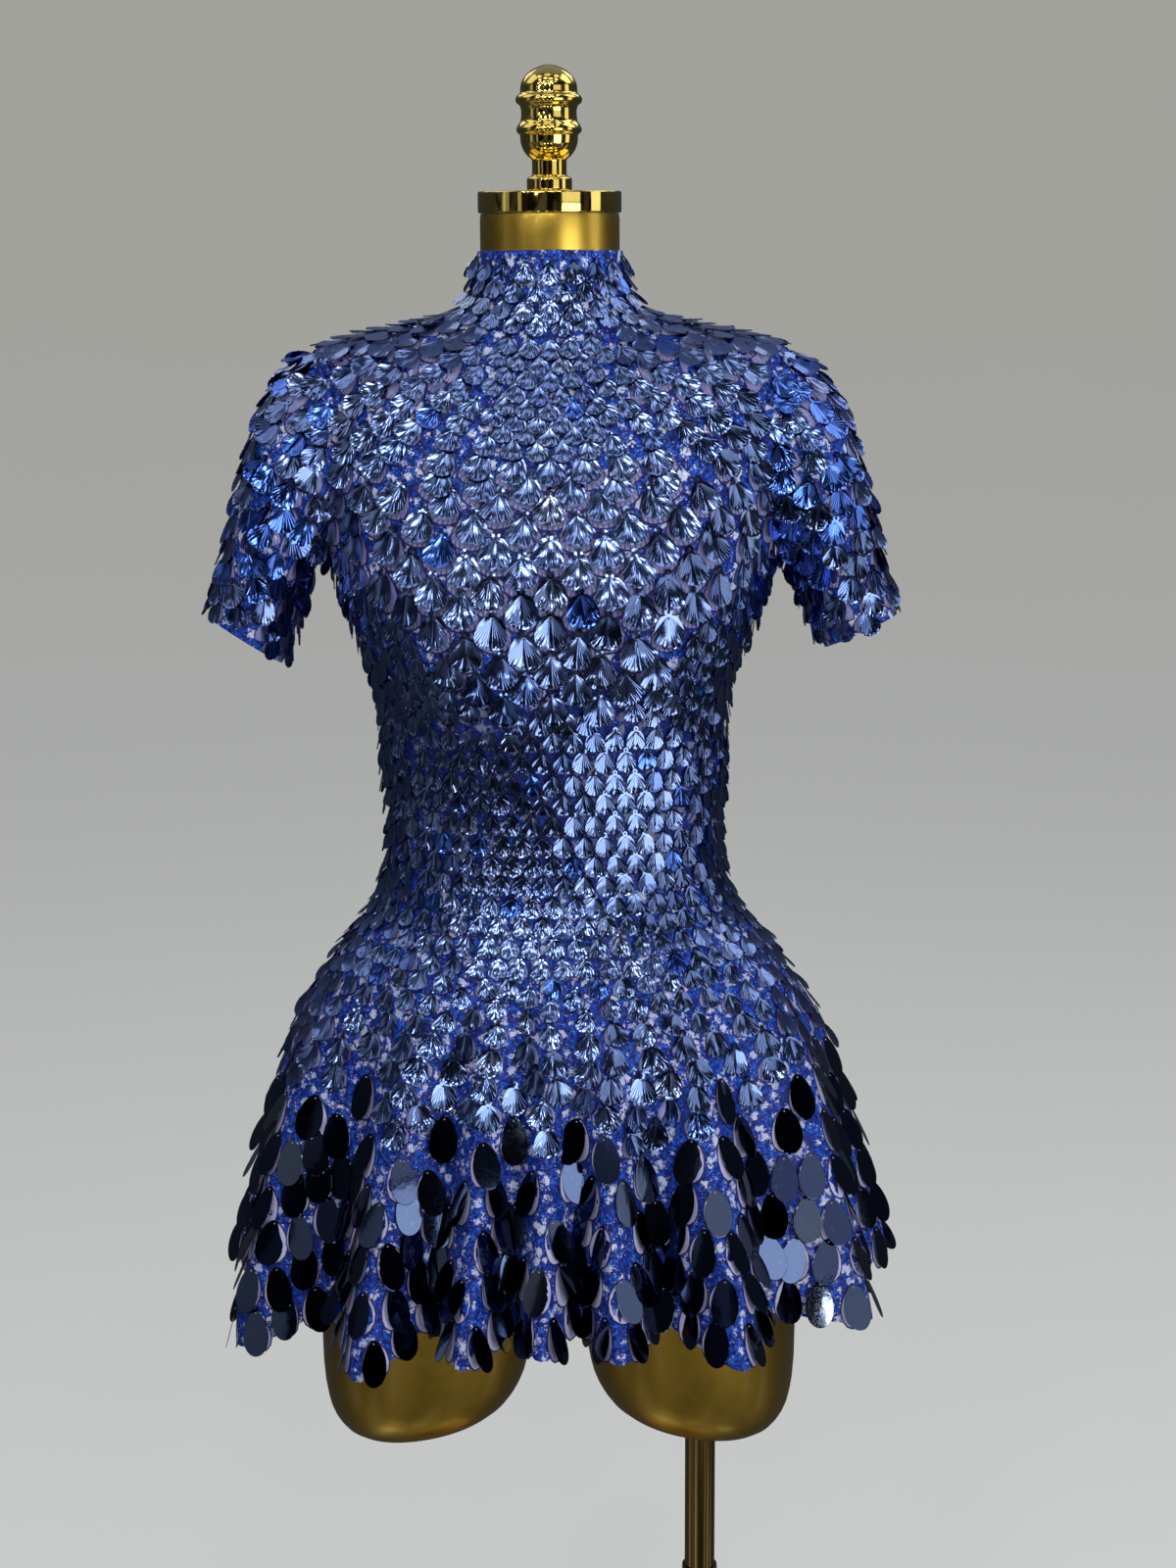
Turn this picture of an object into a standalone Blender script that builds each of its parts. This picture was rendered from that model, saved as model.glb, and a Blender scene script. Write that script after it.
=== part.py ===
"""Sequin party dress on a limbless dress form with a brass stand.

Units are metres, +Z up.  The origin is the centre of the underside of the
stand's base.  The front of the dress faces -Y, the wearer's left is +X.

Every cloth panel is a thin wall between an outer surface, worked out from the
ring tables below, and the same surface moved inwards by the cloth thickness.
"""
import bpy
import bmesh
import math
from mathutils import Vector

# ------------------------------------------------------------------ sizes
CLOTH = 0.0015            # wall thickness of every cloth panel
SEAM = 0.0003             # gap left between two pieces at a seam
ZIP_WIDTH = 0.0056        # visible width of the closed zip chain
ZIP_GAP = 0.0004          # gap between chain and panel edge, each side

COLS_HALF = 9             # grid columns in a quarter of the bodice
ARM_ROWS = 10             # bodice rows along the armhole
SLEEVE_RINGS = 7          # rings down a sleeve
SLEEVE_SEGS = 2 * ARM_ROWS
SKIRT_ROWS = 7
SKIRT_COLS = 45           # columns in each skirt panel

ARMHOLE_FRONT = math.radians(20.0)   # how far the armhole bites into the front
ARMHOLE_BACK = math.radians(18.0)

FORM_GAP = 0.0050         # bodice outer surface to the form, on the body
NECK_RADIUS = 0.0515      # neck column of the form
NECK_TOP = 1.5160
FORM_SEGS = 32

CAP_RADIUS = 0.0530
CAP_HEIGHT = 0.0155
CAP_FOOT = NECK_TOP + SEAM

POLE_X = 0.115
POLE_RADIUS = 0.0123
POLE_FOOT = 0.130
POLE_TOP = 0.700
SOCKET_RADIUS = 0.0127
SOCKET_TOP = 0.702
TUBE_OUTER = 0.0142
TUBE_INNER = 0.0129
TUBE_TOP = 0.398
BUSH_RADIUS = 0.01435
BUSH_HEIGHT = 0.026
BASE_RADIUS = 0.190
BASE_HEIGHT = 0.006

# zip slider: heights off the cloth of its plate's foot and face, and its arch
SLIDER = dict(below_top=0.014, foot=0.0006, face=0.0022, arch_in=0.0048,
              arch_out=0.0060, arch_up=0.0006)
PULL = dict(length=0.0200, width=0.0058, tip=0.0044, thick=0.0010, bar=0.0008,
            eye=0.0030, eye_end=0.0056, foot_lift=0.0030)

# bust mounds on the front surface, either side of the centre line
BUST = dict(x=0.082, z=1.212, depth=0.020, spread_x=0.052, spread_z=0.052)

# ------------------------------------------------------------------ tables
# Body rings of the cloth's outer surface, seam of the skirt to the collar top.
#   run         distance up the side of the body from the skirt seam
#   z_front, z_side, z_back   height of the ring at each quarter
#   width       half width, front / back = depth from the centre line
#   square      2 is an ellipse, more is squarer
BODY_COLUMNS = ("run", "z_front", "z_side", "z_back", "width", "front", "back", "square")
BODY = (
    (0.000, 0.977, 0.977, 0.977, 0.1530, 0.1060, 0.1020, 2.15),
    (0.018, 0.993, 0.993, 0.993, 0.1405, 0.1010, 0.0945, 2.15),
    (0.038, 1.011, 1.011, 1.011, 0.1328, 0.0970, 0.0890, 2.15),
    (0.095, 1.070, 1.070, 1.070, 0.1272, 0.0920, 0.0850, 2.20),
    (0.145, 1.120, 1.120, 1.120, 0.1300, 0.0950, 0.0880, 2.20),
    (0.200, 1.172, 1.172, 1.174, 0.1340, 0.1030, 0.0950, 2.25),
    (0.236, 1.208, 1.208, 1.212, 0.1475, 0.1110, 0.1010, 2.30),
    (0.268, 1.240, 1.240, 1.247, 0.1590, 0.1150, 0.1050, 2.35),
    (0.298, 1.269, 1.272, 1.280, 0.1680, 0.1130, 0.1080, 2.40),
    (0.335, 1.300, 1.309, 1.318, 0.1725, 0.1050, 0.1070, 2.45),
    (0.371, 1.330, 1.346, 1.354, 0.1765, 0.0950, 0.1025, 2.45),
    (0.408, 1.360, 1.384, 1.389, 0.1790, 0.0840, 0.0940, 2.35),
    (0.440, 1.386, 1.415, 1.417, 0.1775, 0.0740, 0.0840, 2.20),
    (0.458, 1.397, 1.4225, 1.429, 0.1630, 0.0690, 0.0790, 2.10),
    (0.500, 1.413, 1.4310, 1.443, 0.1240, 0.0615, 0.0715, 2.00),
    (0.535, 1.427, 1.4370, 1.452, 0.0910, 0.0575, 0.0665, 2.00),
    (0.556, 1.436, 1.4440, 1.458, 0.0725, 0.0560, 0.0630, 2.00),
    (0.574, 1.450, 1.4580, 1.468, 0.0600, 0.0548, 0.0590, 2.00),
    (0.592, 1.468, 1.4720, 1.478, 0.0556, 0.0540, 0.0560, 2.00),
    (0.611, 1.490, 1.4890, 1.489, 0.0538, 0.0538, 0.0538, 2.00),
)
RUN_ARMPIT, RUN_TIP, RUN_NECK, RUN_TOP = 0.298, 0.440, 0.556, 0.611

# Sleeve rings from the armhole to the cuff.
#   out_x, out_z   point on the outside of the arm;  in_x, in_z on the inside
#   depth          half depth front to back
SLEEVE_COLUMNS = ("at", "out_x", "out_z", "in_x", "in_z", "depth")
SLEEVE = (
    (0.00, 0.1790, 1.4145, 0.1690, 1.2730, 0.0570),
    (0.12, 0.2000, 1.4025, 0.1740, 1.2665, 0.0575),
    (0.28, 0.2160, 1.3740, 0.1790, 1.2600, 0.0570),
    (0.48, 0.2300, 1.3330, 0.1850, 1.2490, 0.0550),
    (0.68, 0.2420, 1.2900, 0.1910, 1.2320, 0.0530),
    (0.86, 0.2520, 1.2500, 0.1985, 1.2070, 0.0510),
    (1.00, 0.2610, 1.2170, 0.2080, 1.1860, 0.0495),
)
# The cuff is cut on a slant:  drop of the inner edge, lift of the front edge
CUFFS = dict(right=dict(drop=0.004, lift=0.010), left=dict(drop=-0.006, lift=0.008))

# Skirt rings from the seam to the hem.
#   fall  distance below the seam,  flute  how much of the full flute shows
SKIRT_COLUMNS = ("fall", "width", "front", "back", "flute")
SKIRT = (
    (0.000, 0.1530, 0.1060, 0.1020, 0.00),
    (0.017, 0.1665, 0.1130, 0.1120, 0.04),
    (0.049, 0.1865, 0.1240, 0.1270, 0.12),
    (0.081, 0.2045, 0.1340, 0.1390, 0.25),
    (0.130, 0.2200, 0.1470, 0.1520, 0.45),
    (0.212, 0.2380, 0.1640, 0.1690, 0.78),
    (0.290, 0.2530, 0.1800, 0.1830, 1.00),
)
# Flutes of the skirt, one row for each outward fold, all round.
#   turn   degrees from the centre front towards the wearer's left
#   depth  from the fold's crest to the level halfway down to the next hollow
#   drop   how far its hem hangs lower than the hollows beside it
FLUTE_COLUMNS = ("turn", "depth", "drop")
FLUTES = (
    (-176, 0.017, 0.010), (-153, 0.022, 0.014), (-127, 0.019, 0.011),
    (-102, 0.018, 0.016), (-70, 0.017, 0.030), (-41, 0.022, 0.026),
    (-20, 0.019, 0.014), (-3, 0.015, 0.009), (14, 0.019, 0.010),
    (39, 0.023, 0.017), (68, 0.018, 0.008), (96, 0.015, 0.004),
    (119, 0.020, 0.010), (143, 0.019, 0.015), (165, 0.020, 0.010),
)
HEM_FALL = 0.272          # seam to the hem between two folds, at the front
HEM_SIDE = 0.012          # the sides hang this much lower

# Hips of the form under the skirt, and its two cut thighs.
HIP_COLUMNS = ("z", "width", "front", "back")
HIPS = (
    (0.977, 0.1470, 0.1005, 0.0965),
    (0.950, 0.1570, 0.1030, 0.1030),
    (0.915, 0.1690, 0.1050, 0.1110),
    (0.875, 0.1800, 0.1060, 0.1170),
    (0.830, 0.1850, 0.1050, 0.1180),
    (0.795, 0.1780, 0.0980, 0.1100),
    (0.776, 0.1450, 0.0800, 0.0880),
    (0.768, 0.0900, 0.0480, 0.0520),
)
THIGH_COLUMNS = ("z", "centre", "width", "front", "back")
THIGH = (
    (0.850, 0.0880, 0.0930, 0.0960, 0.1080),
    (0.800, 0.0930, 0.0930, 0.0960, 0.1050),
    (0.740, 0.0985, 0.0900, 0.0930, 0.0980),
    (0.670, 0.1035, 0.0870, 0.0890, 0.0910),
    (0.625, 0.1060, 0.0845, 0.0860, 0.0870),
    (0.595, 0.1065, 0.0800, 0.0820, 0.0830),
    (0.576, 0.1070, 0.0710, 0.0730, 0.0740),
    (0.566, 0.1075, 0.0585, 0.0600, 0.0610),
    (0.561, 0.1080, 0.0360, 0.0380, 0.0380),
)
THIGH_SLANT = 0.16        # the cut end rises towards the inside of the leg

# Turned profile of the neck finial:  height above the cap, radius
FINIAL_COLUMNS = ("height", "radius")
FINIAL = (
    (0.0000, 0.0155), (0.0012, 0.0166), (0.0085, 0.0166), (0.0102, 0.0150),
    (0.0112, 0.0127), (0.0218, 0.0127), (0.0250, 0.0160), (0.0300, 0.0194),
    (0.0350, 0.0210), (0.0400, 0.0214), (0.0416, 0.0234), (0.0438, 0.0240),
    (0.0462, 0.0232), (0.0500, 0.0208), (0.0560, 0.0203), (0.0608, 0.0214),
    (0.0626, 0.0238), (0.0650, 0.0244), (0.0676, 0.0234), (0.0694, 0.0211),
    (0.0750, 0.0206), (0.0810, 0.0178), (0.0860, 0.0122), (0.0890, 0.0055),
)

MATERIALS = {
    # name: (colour, metallic, roughness)
    "printed_cloth": ((0.045, 0.095, 0.420, 1.0), 0.0, 0.70),
    "cloth_back": ((0.050, 0.085, 0.360, 1.0), 0.0, 0.72),
    "cloth_collar": ((0.060, 0.110, 0.470, 1.0), 0.0, 0.70),
    "cloth_sleeve": ((0.040, 0.105, 0.450, 1.0), 0.0, 0.70),
    "cloth_skirt": ((0.055, 0.120, 0.520, 1.0), 0.0, 0.68),
    "cloth_skirt_back": ((0.050, 0.110, 0.480, 1.0), 0.0, 0.68),
    "zip_nylon": ((0.020, 0.040, 0.200, 1.0), 0.0, 0.45),
    "zip_metal": ((0.030, 0.050, 0.160, 1.0), 0.7, 0.35),
    "form_gold": ((0.330, 0.185, 0.045, 1.0), 0.85, 0.32),
    "polished_brass": ((0.820, 0.560, 0.170, 1.0), 1.0, 0.10),
    "pole_brass": ((0.560, 0.380, 0.130, 1.0), 1.0, 0.18),
    "black_plastic": ((0.012, 0.012, 0.013, 1.0), 0.0, 0.45),
}


# ------------------------------------------------------------------ helpers
def column(names, table, key):
    k = names.index(key)
    return [row[k] for row in table]


def smooth(xs, ys, x):
    """Monotone cubic through the table's points, so it never overshoots."""
    if x <= xs[0]:
        return ys[0]
    if x >= xs[-1]:
        return ys[-1]
    i = 0
    while x > xs[i + 1]:
        i += 1
    def slope(j):
        return (ys[j + 1] - ys[j]) / (xs[j + 1] - xs[j])
    def tangent(j):
        if j == 0:
            return slope(0)
        if j == len(xs) - 1:
            return slope(j - 1)
        a, b = slope(j - 1), slope(j)
        if a * b <= 0.0:
            return 0.0
        h0, h1 = xs[j] - xs[j - 1], xs[j + 1] - xs[j]
        w0, w1 = 2 * h1 + h0, h1 + 2 * h0
        return (w0 + w1) / (w0 / a + w1 / b)
    h = xs[i + 1] - xs[i]
    s = (x - xs[i]) / h
    m0, m1 = tangent(i), tangent(i + 1)
    return ((1 + 2 * s) * (1 - s) ** 2 * ys[i] + s * (1 - s) ** 2 * h * m0
            + s * s * (3 - 2 * s) * ys[i + 1] + s * s * (s - 1) * h * m1)


def reader(names, table):
    """Gives look(key, x): the named column at x, x being the first column."""
    cols = {key: column(names, table, key) for key in names}
    xs = cols[names[0]]
    step = 1 if xs[-1] > xs[0] else -1
    xs = [step * x for x in xs]
    return lambda key, x: smooth(xs, cols[key], step * x)


body_at = reader(BODY_COLUMNS, BODY)
sleeve_at = reader(SLEEVE_COLUMNS, SLEEVE)
skirt_at = reader(SKIRT_COLUMNS, SKIRT)
hip_at = reader(HIP_COLUMNS, HIPS)
thigh_at = reader(THIGH_COLUMNS, THIGH)


def oval(turn, width, front, back, square=2.0):
    """Point of a round-cornered section at a polar angle from the front."""
    sx, cy = math.sin(turn), math.cos(turn)
    depth = front if cy >= 0 else back
    r = (abs(sx / width) ** square + abs(cy / depth) ** square) ** (-1.0 / square)
    return r * sx, -r * cy


def body_point(turn, run):
    """Cloth outer surface of bodice and collar."""
    x, y = oval(turn, body_at("width", run), body_at("front", run),
                body_at("back", run), body_at("square", run))
    c = math.cos(turn)
    side = body_at("z_side", run)
    end = body_at("z_front", run) if c >= 0 else body_at("z_back", run)
    z = side + (end - side) * c * c
    if c > 0:
        for s in (-1, 1):
            g = math.exp(-((x - s * BUST["x"]) / BUST["spread_x"]) ** 2
                         - ((z - BUST["z"]) / BUST["spread_z"]) ** 2)
            y -= BUST["depth"] * g * min(1.0, 1.6 * c)
    return Vector((x, y, z))


def normal_of(point, a, b, da=1e-4, db=1e-4, flip=1.0, low=None, high=None):
    """Unit normal of a surface point(a, b), by differences kept in range."""
    b0 = b - db if low is None else max(low, b - db)
    b1 = b + db if high is None else min(high, b + db)
    n = (point(a + da, b) - point(a - da, b)).cross(point(a, b1) - point(a, b0))
    return n.normalized() * flip


def body_normal(turn, run):
    n = normal_of(body_point, turn, run, low=0.0, high=RUN_TOP)
    p = body_point(turn, run)
    return n if n.dot(Vector((p.x, p.y, 0.02))) > 0 else -n


def material(name):
    colour, metallic, rough = MATERIALS[name]
    mat = bpy.data.materials.new(name)
    mat.use_nodes = True
    shader = mat.node_tree.nodes["Principled BSDF"]
    shader.inputs["Base Color"].default_value = colour
    shader.inputs["Metallic"].default_value = metallic
    shader.inputs["Roughness"].default_value = rough
    mat.diffuse_color = colour
    return mat


def mesh_object(name, verts, faces, mat, sharp=40.0, origin=None):
    mesh = bpy.data.meshes.new(name)
    mesh.from_pydata([tuple(v) for v in verts], [], faces)
    bm = bmesh.new()
    bm.from_mesh(mesh)
    bmesh.ops.recalc_face_normals(bm, faces=bm.faces)
    bm.to_mesh(mesh)
    bm.free()
    mesh.validate()
    obj = bpy.data.objects.new(name, mesh)
    bpy.context.scene.collection.objects.link(obj)
    mesh.materials.append(MATS[mat])
    mesh.shade_smooth()
    mesh.set_sharp_from_angle(angle=math.radians(sharp))
    if origin is not None:
        origin = Vector(origin)
        for v in mesh.vertices:
            v.co = v.co - origin
        obj.location = origin
    return obj


def cloth_wall(name, outer, inner, mat, closed=False, top_to_bottom=True):
    """A wall between two equal grids of points, its rim closed all round.

    closed joins the last column to the first, for a tube such as a sleeve."""
    rows, cols = len(outer), len(outer[0])
    verts = [p for row in outer for p in row] + [p for row in inner for p in row]
    skin = rows * cols

    def at(layer, r, c):
        return layer * skin + r * cols + c % cols

    faces = []
    span = cols if closed else cols - 1
    for r in range(rows - 1):
        for c in range(span):
            for layer in (0, 1):
                a, b = at(layer, r, c), at(layer, r, c + 1)
                d, e = at(layer, r + 1, c), at(layer, r + 1, c + 1)
                tris = [(a, b, e), (a, e, d)] if (r + c) % 2 else [(a, b, d), (b, e, d)]
                faces += tris if layer == 0 else [t[::-1] for t in tris]
    def rim(path):
        for (r0, c0), (r1, c1) in zip(path, path[1:]):
            faces.append((at(0, r0, c0), at(1, r0, c0), at(1, r1, c1)))
            faces.append((at(0, r0, c0), at(1, r1, c1), at(0, r1, c1)))
    rim([(0, c) for c in range(span + 1)][::-1])
    rim([(rows - 1, c) for c in range(span + 1)])
    if not closed:
        rim([(r, 0) for r in range(rows)])
        rim([(r, cols - 1) for r in range(rows)][::-1])
    return mesh_object(name, verts, faces, mat, sharp=60.0)


def lathe(name, profile, mat, centre=(0, 0), segs=40, sharp=32.0):
    """A turned solid: (z, radius) rows from bottom to top, closed on its axis,
    or a ring when the profile comes back to where it began."""
    ring = abs(profile[0][0] - profile[-1][0]) < 1e-9 and abs(profile[0][1] - profile[-1][1]) < 1e-9
    rows = profile[:-1] if ring else profile
    verts, faces = [], []
    for z, r in rows:
        for k in range(segs):
            a = 2 * math.pi * k / segs
            verts.append((centre[0] + r * math.cos(a), centre[1] + r * math.sin(a), z))
    n = len(rows)
    for i in range(n if ring else n - 1):
        j = (i + 1) % n
        for k in range(segs):
            q = (k + 1) % segs
            faces.append((i * segs + k, i * segs + q, j * segs + q, j * segs + k))
    if not ring:
        faces.append(tuple(range(segs))[::-1])
        faces.append(tuple((n - 1) * segs + k for k in range(segs)))
    return mesh_object(name, verts, faces, mat, sharp=sharp)


def loft(name, rings, mat, sharp=60.0):
    """A closed solid through rings of equal count, its ends capped by fans."""
    segs = len(rings[0])
    verts = [p for ring in rings for p in ring]
    faces = []
    for i in range(len(rings) - 1):
        for k in range(segs):
            q = (k + 1) % segs
            faces.append((i * segs + k, i * segs + q, (i + 1) * segs + q, (i + 1) * segs + k))
    for i in (0, len(rings) - 1):
        c = sum((Vector(p) for p in rings[i]), Vector()) / segs
        verts.append(c)
        for k in range(segs):
            faces.append((i * segs + k, i * segs + (k + 1) % segs, len(verts) - 1))
    return mesh_object(name, verts, faces, mat, sharp=sharp)


# ------------------------------------------------------------------ bodice
def spaced(a, b, n):
    return [a + (b - a) * i / n for i in range(n + 1)]


def bodice_rows():
    """Rows of the bodice: even below the armpit, by the armhole's own angle
    beside it, and even again over the shoulder."""
    low = spaced(0.0, 0.038, 2)[:-1] + spaced(0.038, RUN_ARMPIT, 9)[:-1]
    mid, half = (RUN_ARMPIT + RUN_TIP) / 2, (RUN_TIP - RUN_ARMPIT) / 2
    arm = [mid - half * math.cos(math.pi * i / ARM_ROWS) for i in range(ARM_ROWS + 1)]
    high = spaced(RUN_TIP, RUN_NECK, 4)[1:]
    return low + arm + high


def armhole_bite(run, widest):
    if run <= RUN_ARMPIT or run >= RUN_TIP:
        return 0.0
    mid, half = (RUN_ARMPIT + RUN_TIP) / 2, (RUN_TIP - RUN_ARMPIT) / 2
    return widest * math.sqrt(max(0.0, 1.0 - ((run - mid) / half) ** 2))


def side_turn(run, bite):
    """Polar angle of a panel's side edge, half a seam short of the side."""
    return math.pi / 2 - (SEAM / 2) / body_at("width", run) - bite


def zip_turn(run):
    return math.pi - (ZIP_WIDTH / 2 + ZIP_GAP) / body_at("back", run)


def shell_rows(runs, left, right, cols, offset=CLOTH, trim=(0.0, 0.0)):
    """Outer and inner grids of a panel between two edge angles per row."""
    outer, inner = [], []
    for i, run in enumerate(runs):
        at = run
        if i == 0:
            at += trim[0]
        if i == len(runs) - 1:
            at -= trim[1]
        a, b = left(run), right(run)
        o, n = [], []
        for k in range(cols + 1):
            t = a + (b - a) * k / cols
            p = body_point(t, at)
            m = body_normal(t, at)
            if i == 0 and run == 0.0:
                m = Vector((m.x, m.y, 0)).normalized()
            o.append(p)
            n.append(p - m * offset)
        outer.append(o)
        inner.append(n)
    return outer, inner


def build_bodice():
    rows = bodice_rows()
    front = lambda r: side_turn(r, armhole_bite(r, ARMHOLE_FRONT))
    back = lambda r: math.pi - side_turn(r, armhole_bite(r, ARMHOLE_BACK))
    trim = (SEAM / 2, SEAM / 2)
    outer, inner = shell_rows(rows, lambda r: -front(r), front, 2 * COLS_HALF, trim=trim)
    cloth_wall("bodice_front", outer, inner, "printed_cloth")
    outer, inner = shell_rows(rows, back, zip_turn, COLS_HALF, trim=trim)
    cloth_wall("bodice_back_left", outer, inner, "cloth_back")
    outer, inner = shell_rows(rows, lambda r: -zip_turn(r), lambda r: -back(r), COLS_HALF, trim=trim)
    cloth_wall("bodice_back_right", outer, inner, "cloth_back")


def build_collar():
    """A stand collar all round, open at the centre back for the zip."""
    rows = spaced(RUN_NECK, RUN_TOP, 4)
    outer, inner = shell_rows(rows, lambda r: -zip_turn(r), zip_turn, 4 * COLS_HALF,
                              trim=(SEAM / 2, 0.0))
    cloth_wall("collar", outer, inner, "cloth_collar")


# ------------------------------------------------------------------ sleeves
def armhole_loop(phi):
    """Edge of the armhole on the bodice: phi 0 at the shoulder tip, a quarter
    turn at the front, half a turn at the armpit.  Gives the point, the body
    normal and the direction that leads off the panel."""
    mid, half = (RUN_ARMPIT + RUN_TIP) / 2, (RUN_TIP - RUN_ARMPIT) / 2
    run = mid + half * math.cos(phi)
    s = math.sin(phi)
    if s >= 0:
        turn = math.pi / 2 - ARMHOLE_FRONT * s
    else:
        turn = math.pi / 2 + ARMHOLE_BACK * -s
    p, n = body_point(turn, run), body_normal(turn, run)
    e = 1e-3
    def spot(f):
        sf = math.sin(f)
        t = math.pi / 2 - (ARMHOLE_FRONT if sf >= 0 else ARMHOLE_BACK) * sf
        return body_point(t, mid + half * math.cos(f))
    along = (spot(phi + e) - spot(phi - e)).normalized()
    off = along.cross(n).normalized()
    # away from the panel means towards the middle of the armhole
    centre = body_point(math.pi / 2, mid)
    if off.dot(centre - p) < 0:
        off = -off
    return p, n, off


def sleeve_point(phi, at, cuff):
    out = Vector((sleeve_at("out_x", at), 0, sleeve_at("out_z", at)))
    inn = Vector((sleeve_at("in_x", at), 0, sleeve_at("in_z", at)))
    c = (out + inn) / 2
    d = sleeve_at("depth", at)
    e = c + (out - c) * math.cos(phi) + Vector((0, -d, 0)) * math.sin(phi)
    s = max(0.0, (at - 0.45) / 0.55) ** 2
    e.z -= s * cuff["drop"] * (1 - math.cos(phi)) / 2
    e.z += s * cuff["lift"] * math.sin(phi)
    k = min(1.0, at / 0.30)
    k = k * k * (3 - 2 * k)
    if k < 1.0:
        p, n, off = armhole_loop(phi)
        e = (p + off * (2 * SEAM)) * (1 - k) + e * k
    return e


def build_sleeve(name, side):
    """side is +1 for the wearer's left, -1 for the right, which is mirrored."""
    cuff = CUFFS["left" if side > 0 else "right"]
    ats = [0.0, 0.07, 0.16, 0.28, 0.44, 0.62, 0.81, 1.0]
    outer, inner = [], []
    for i, at in enumerate(ats):
        o, n = [], []
        for k in range(SLEEVE_SEGS):
            phi = 2 * math.pi * k / SLEEVE_SEGS
            p = sleeve_point(phi, at, cuff)
            lo, hi = max(0.0, at - 0.01), min(1.0, at + 0.01)
            if at < 0.02:
                lo, hi = 0.0, 0.05
            ring = sleeve_point(phi + 0.01, at, cuff) - sleeve_point(phi - 0.01, at, cuff)
            down = sleeve_point(phi, hi, cuff) - sleeve_point(phi, lo, cuff)
            m = ring.cross(down).normalized()
            c = (Vector((sleeve_at("out_x", at) + sleeve_at("in_x", at), 0,
                         sleeve_at("out_z", at) + sleeve_at("in_z", at)))) / 2
            if m.dot(p - c) < 0:
                m = -m
            if i == 0:
                q, nb, off = armhole_loop(phi)
                m = m - off * max(0.0, m.dot(off))
                m.normalize()
            o.append(Vector((p.x * side, p.y, p.z)))
            m = p - m * CLOTH
            n.append(Vector((m.x * side, m.y, m.z)))
        outer.append(o)
        inner.append(n)
    cloth_wall(name, outer, inner, "cloth_sleeve", closed=True)


# ------------------------------------------------------------------ skirt
def flute_wave(turn):
    """Outward push and hem drop of the flutes at an angle, in metres."""
    deg = (math.degrees(turn) + 180.0) % 360.0 - 180.0
    rows = sorted(FLUTES)
    rows = [(rows[-1][0] - 360,) + rows[-1][1:]] + rows + [(rows[0][0] + 360,) + rows[0][1:]]
    for (a0, d0, l0), (a1, d1, l1) in zip(rows, rows[1:]):
        if a0 <= deg <= a1:
            s = (deg - a0) / (a1 - a0)
            ease = s * s * (3 - 2 * s)
            wave = math.cos(2 * math.pi * s)
            depth = d0 + (d1 - d0) * ease
            low = l0 + (l1 - l0) * ease
            return depth * wave, low * (0.5 + 0.5 * wave)
    return 0.0, 0.0


def skirt_point(turn, part):
    """part runs from 0 at the seam to 1 at the hem."""
    push, drop = flute_wave(turn)
    s2 = math.sin(turn) ** 2
    full = HEM_FALL + HEM_SIDE * s2 + drop
    fall = full * part
    look = fall
    w, f, b = skirt_at("width", look), skirt_at("front", look), skirt_at("back", look)
    x, y = oval(turn, w, f, b, 2.15)
    amp = skirt_at("flute", look)
    r = math.hypot(x, y)
    out = Vector((x / w ** 2, y / (f if y < 0 else b) ** 2, 0)).normalized()
    p = Vector((x, y, 0)) + out * (push * amp)
    p.z = BODY[0][1] - fall
    return p


def build_skirt():
    for name, lo, hi, mat in (("skirt_front", -90.0, 90.0, "cloth_skirt"),
                              ("skirt_back", 90.0, 270.0, "cloth_skirt_back")):
        outer, inner = [], []
        for i in range(SKIRT_ROWS + 1):
            part = (i / SKIRT_ROWS) ** 1.15
            o, n = [], []
            for k in range(SKIRT_COLS + 1):
                t = math.radians(lo + (hi - lo) * k / SKIRT_COLS)
                edge = SEAM / 2 / 0.16
                t = min(max(t, math.radians(lo) + edge), math.radians(hi) - edge)
                p = skirt_point(t, max(part, SEAM / 2 / 0.29))
                dp = 0.01
                lo_p, hi_p = max(0.0, part - dp), min(1.0, part + dp)
                m = (skirt_point(t + 0.004, part) - skirt_point(t - 0.004, part)).cross(
                    skirt_point(t, hi_p) - skirt_point(t, lo_p)).normalized()
                if m.dot(Vector((p.x, p.y, 0))) < 0:
                    m = -m
                if i == 0 or k in (0, SKIRT_COLS):
                    flat = Vector((m.x, m.y, 0 if i == 0 else m.z))
                    if k in (0, SKIRT_COLS):
                        flat.y = 0.0
                    m = flat.normalized()
                o.append(p)
                n.append(p - m * CLOTH)
            outer.append(o)
            inner.append(n)
        cloth_wall(name, outer, inner, mat)


# ------------------------------------------------------------------ zip
def zip_line(run, lift=0.0, across=0.0):
    """A point on the centre back line, lifted off the cloth, and its normal."""
    p = body_point(math.pi, run)
    n = body_normal(math.pi, run)
    n = Vector((0, n.y, n.z)).normalized()
    return p + n * lift + Vector((across, 0, 0)), n


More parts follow.
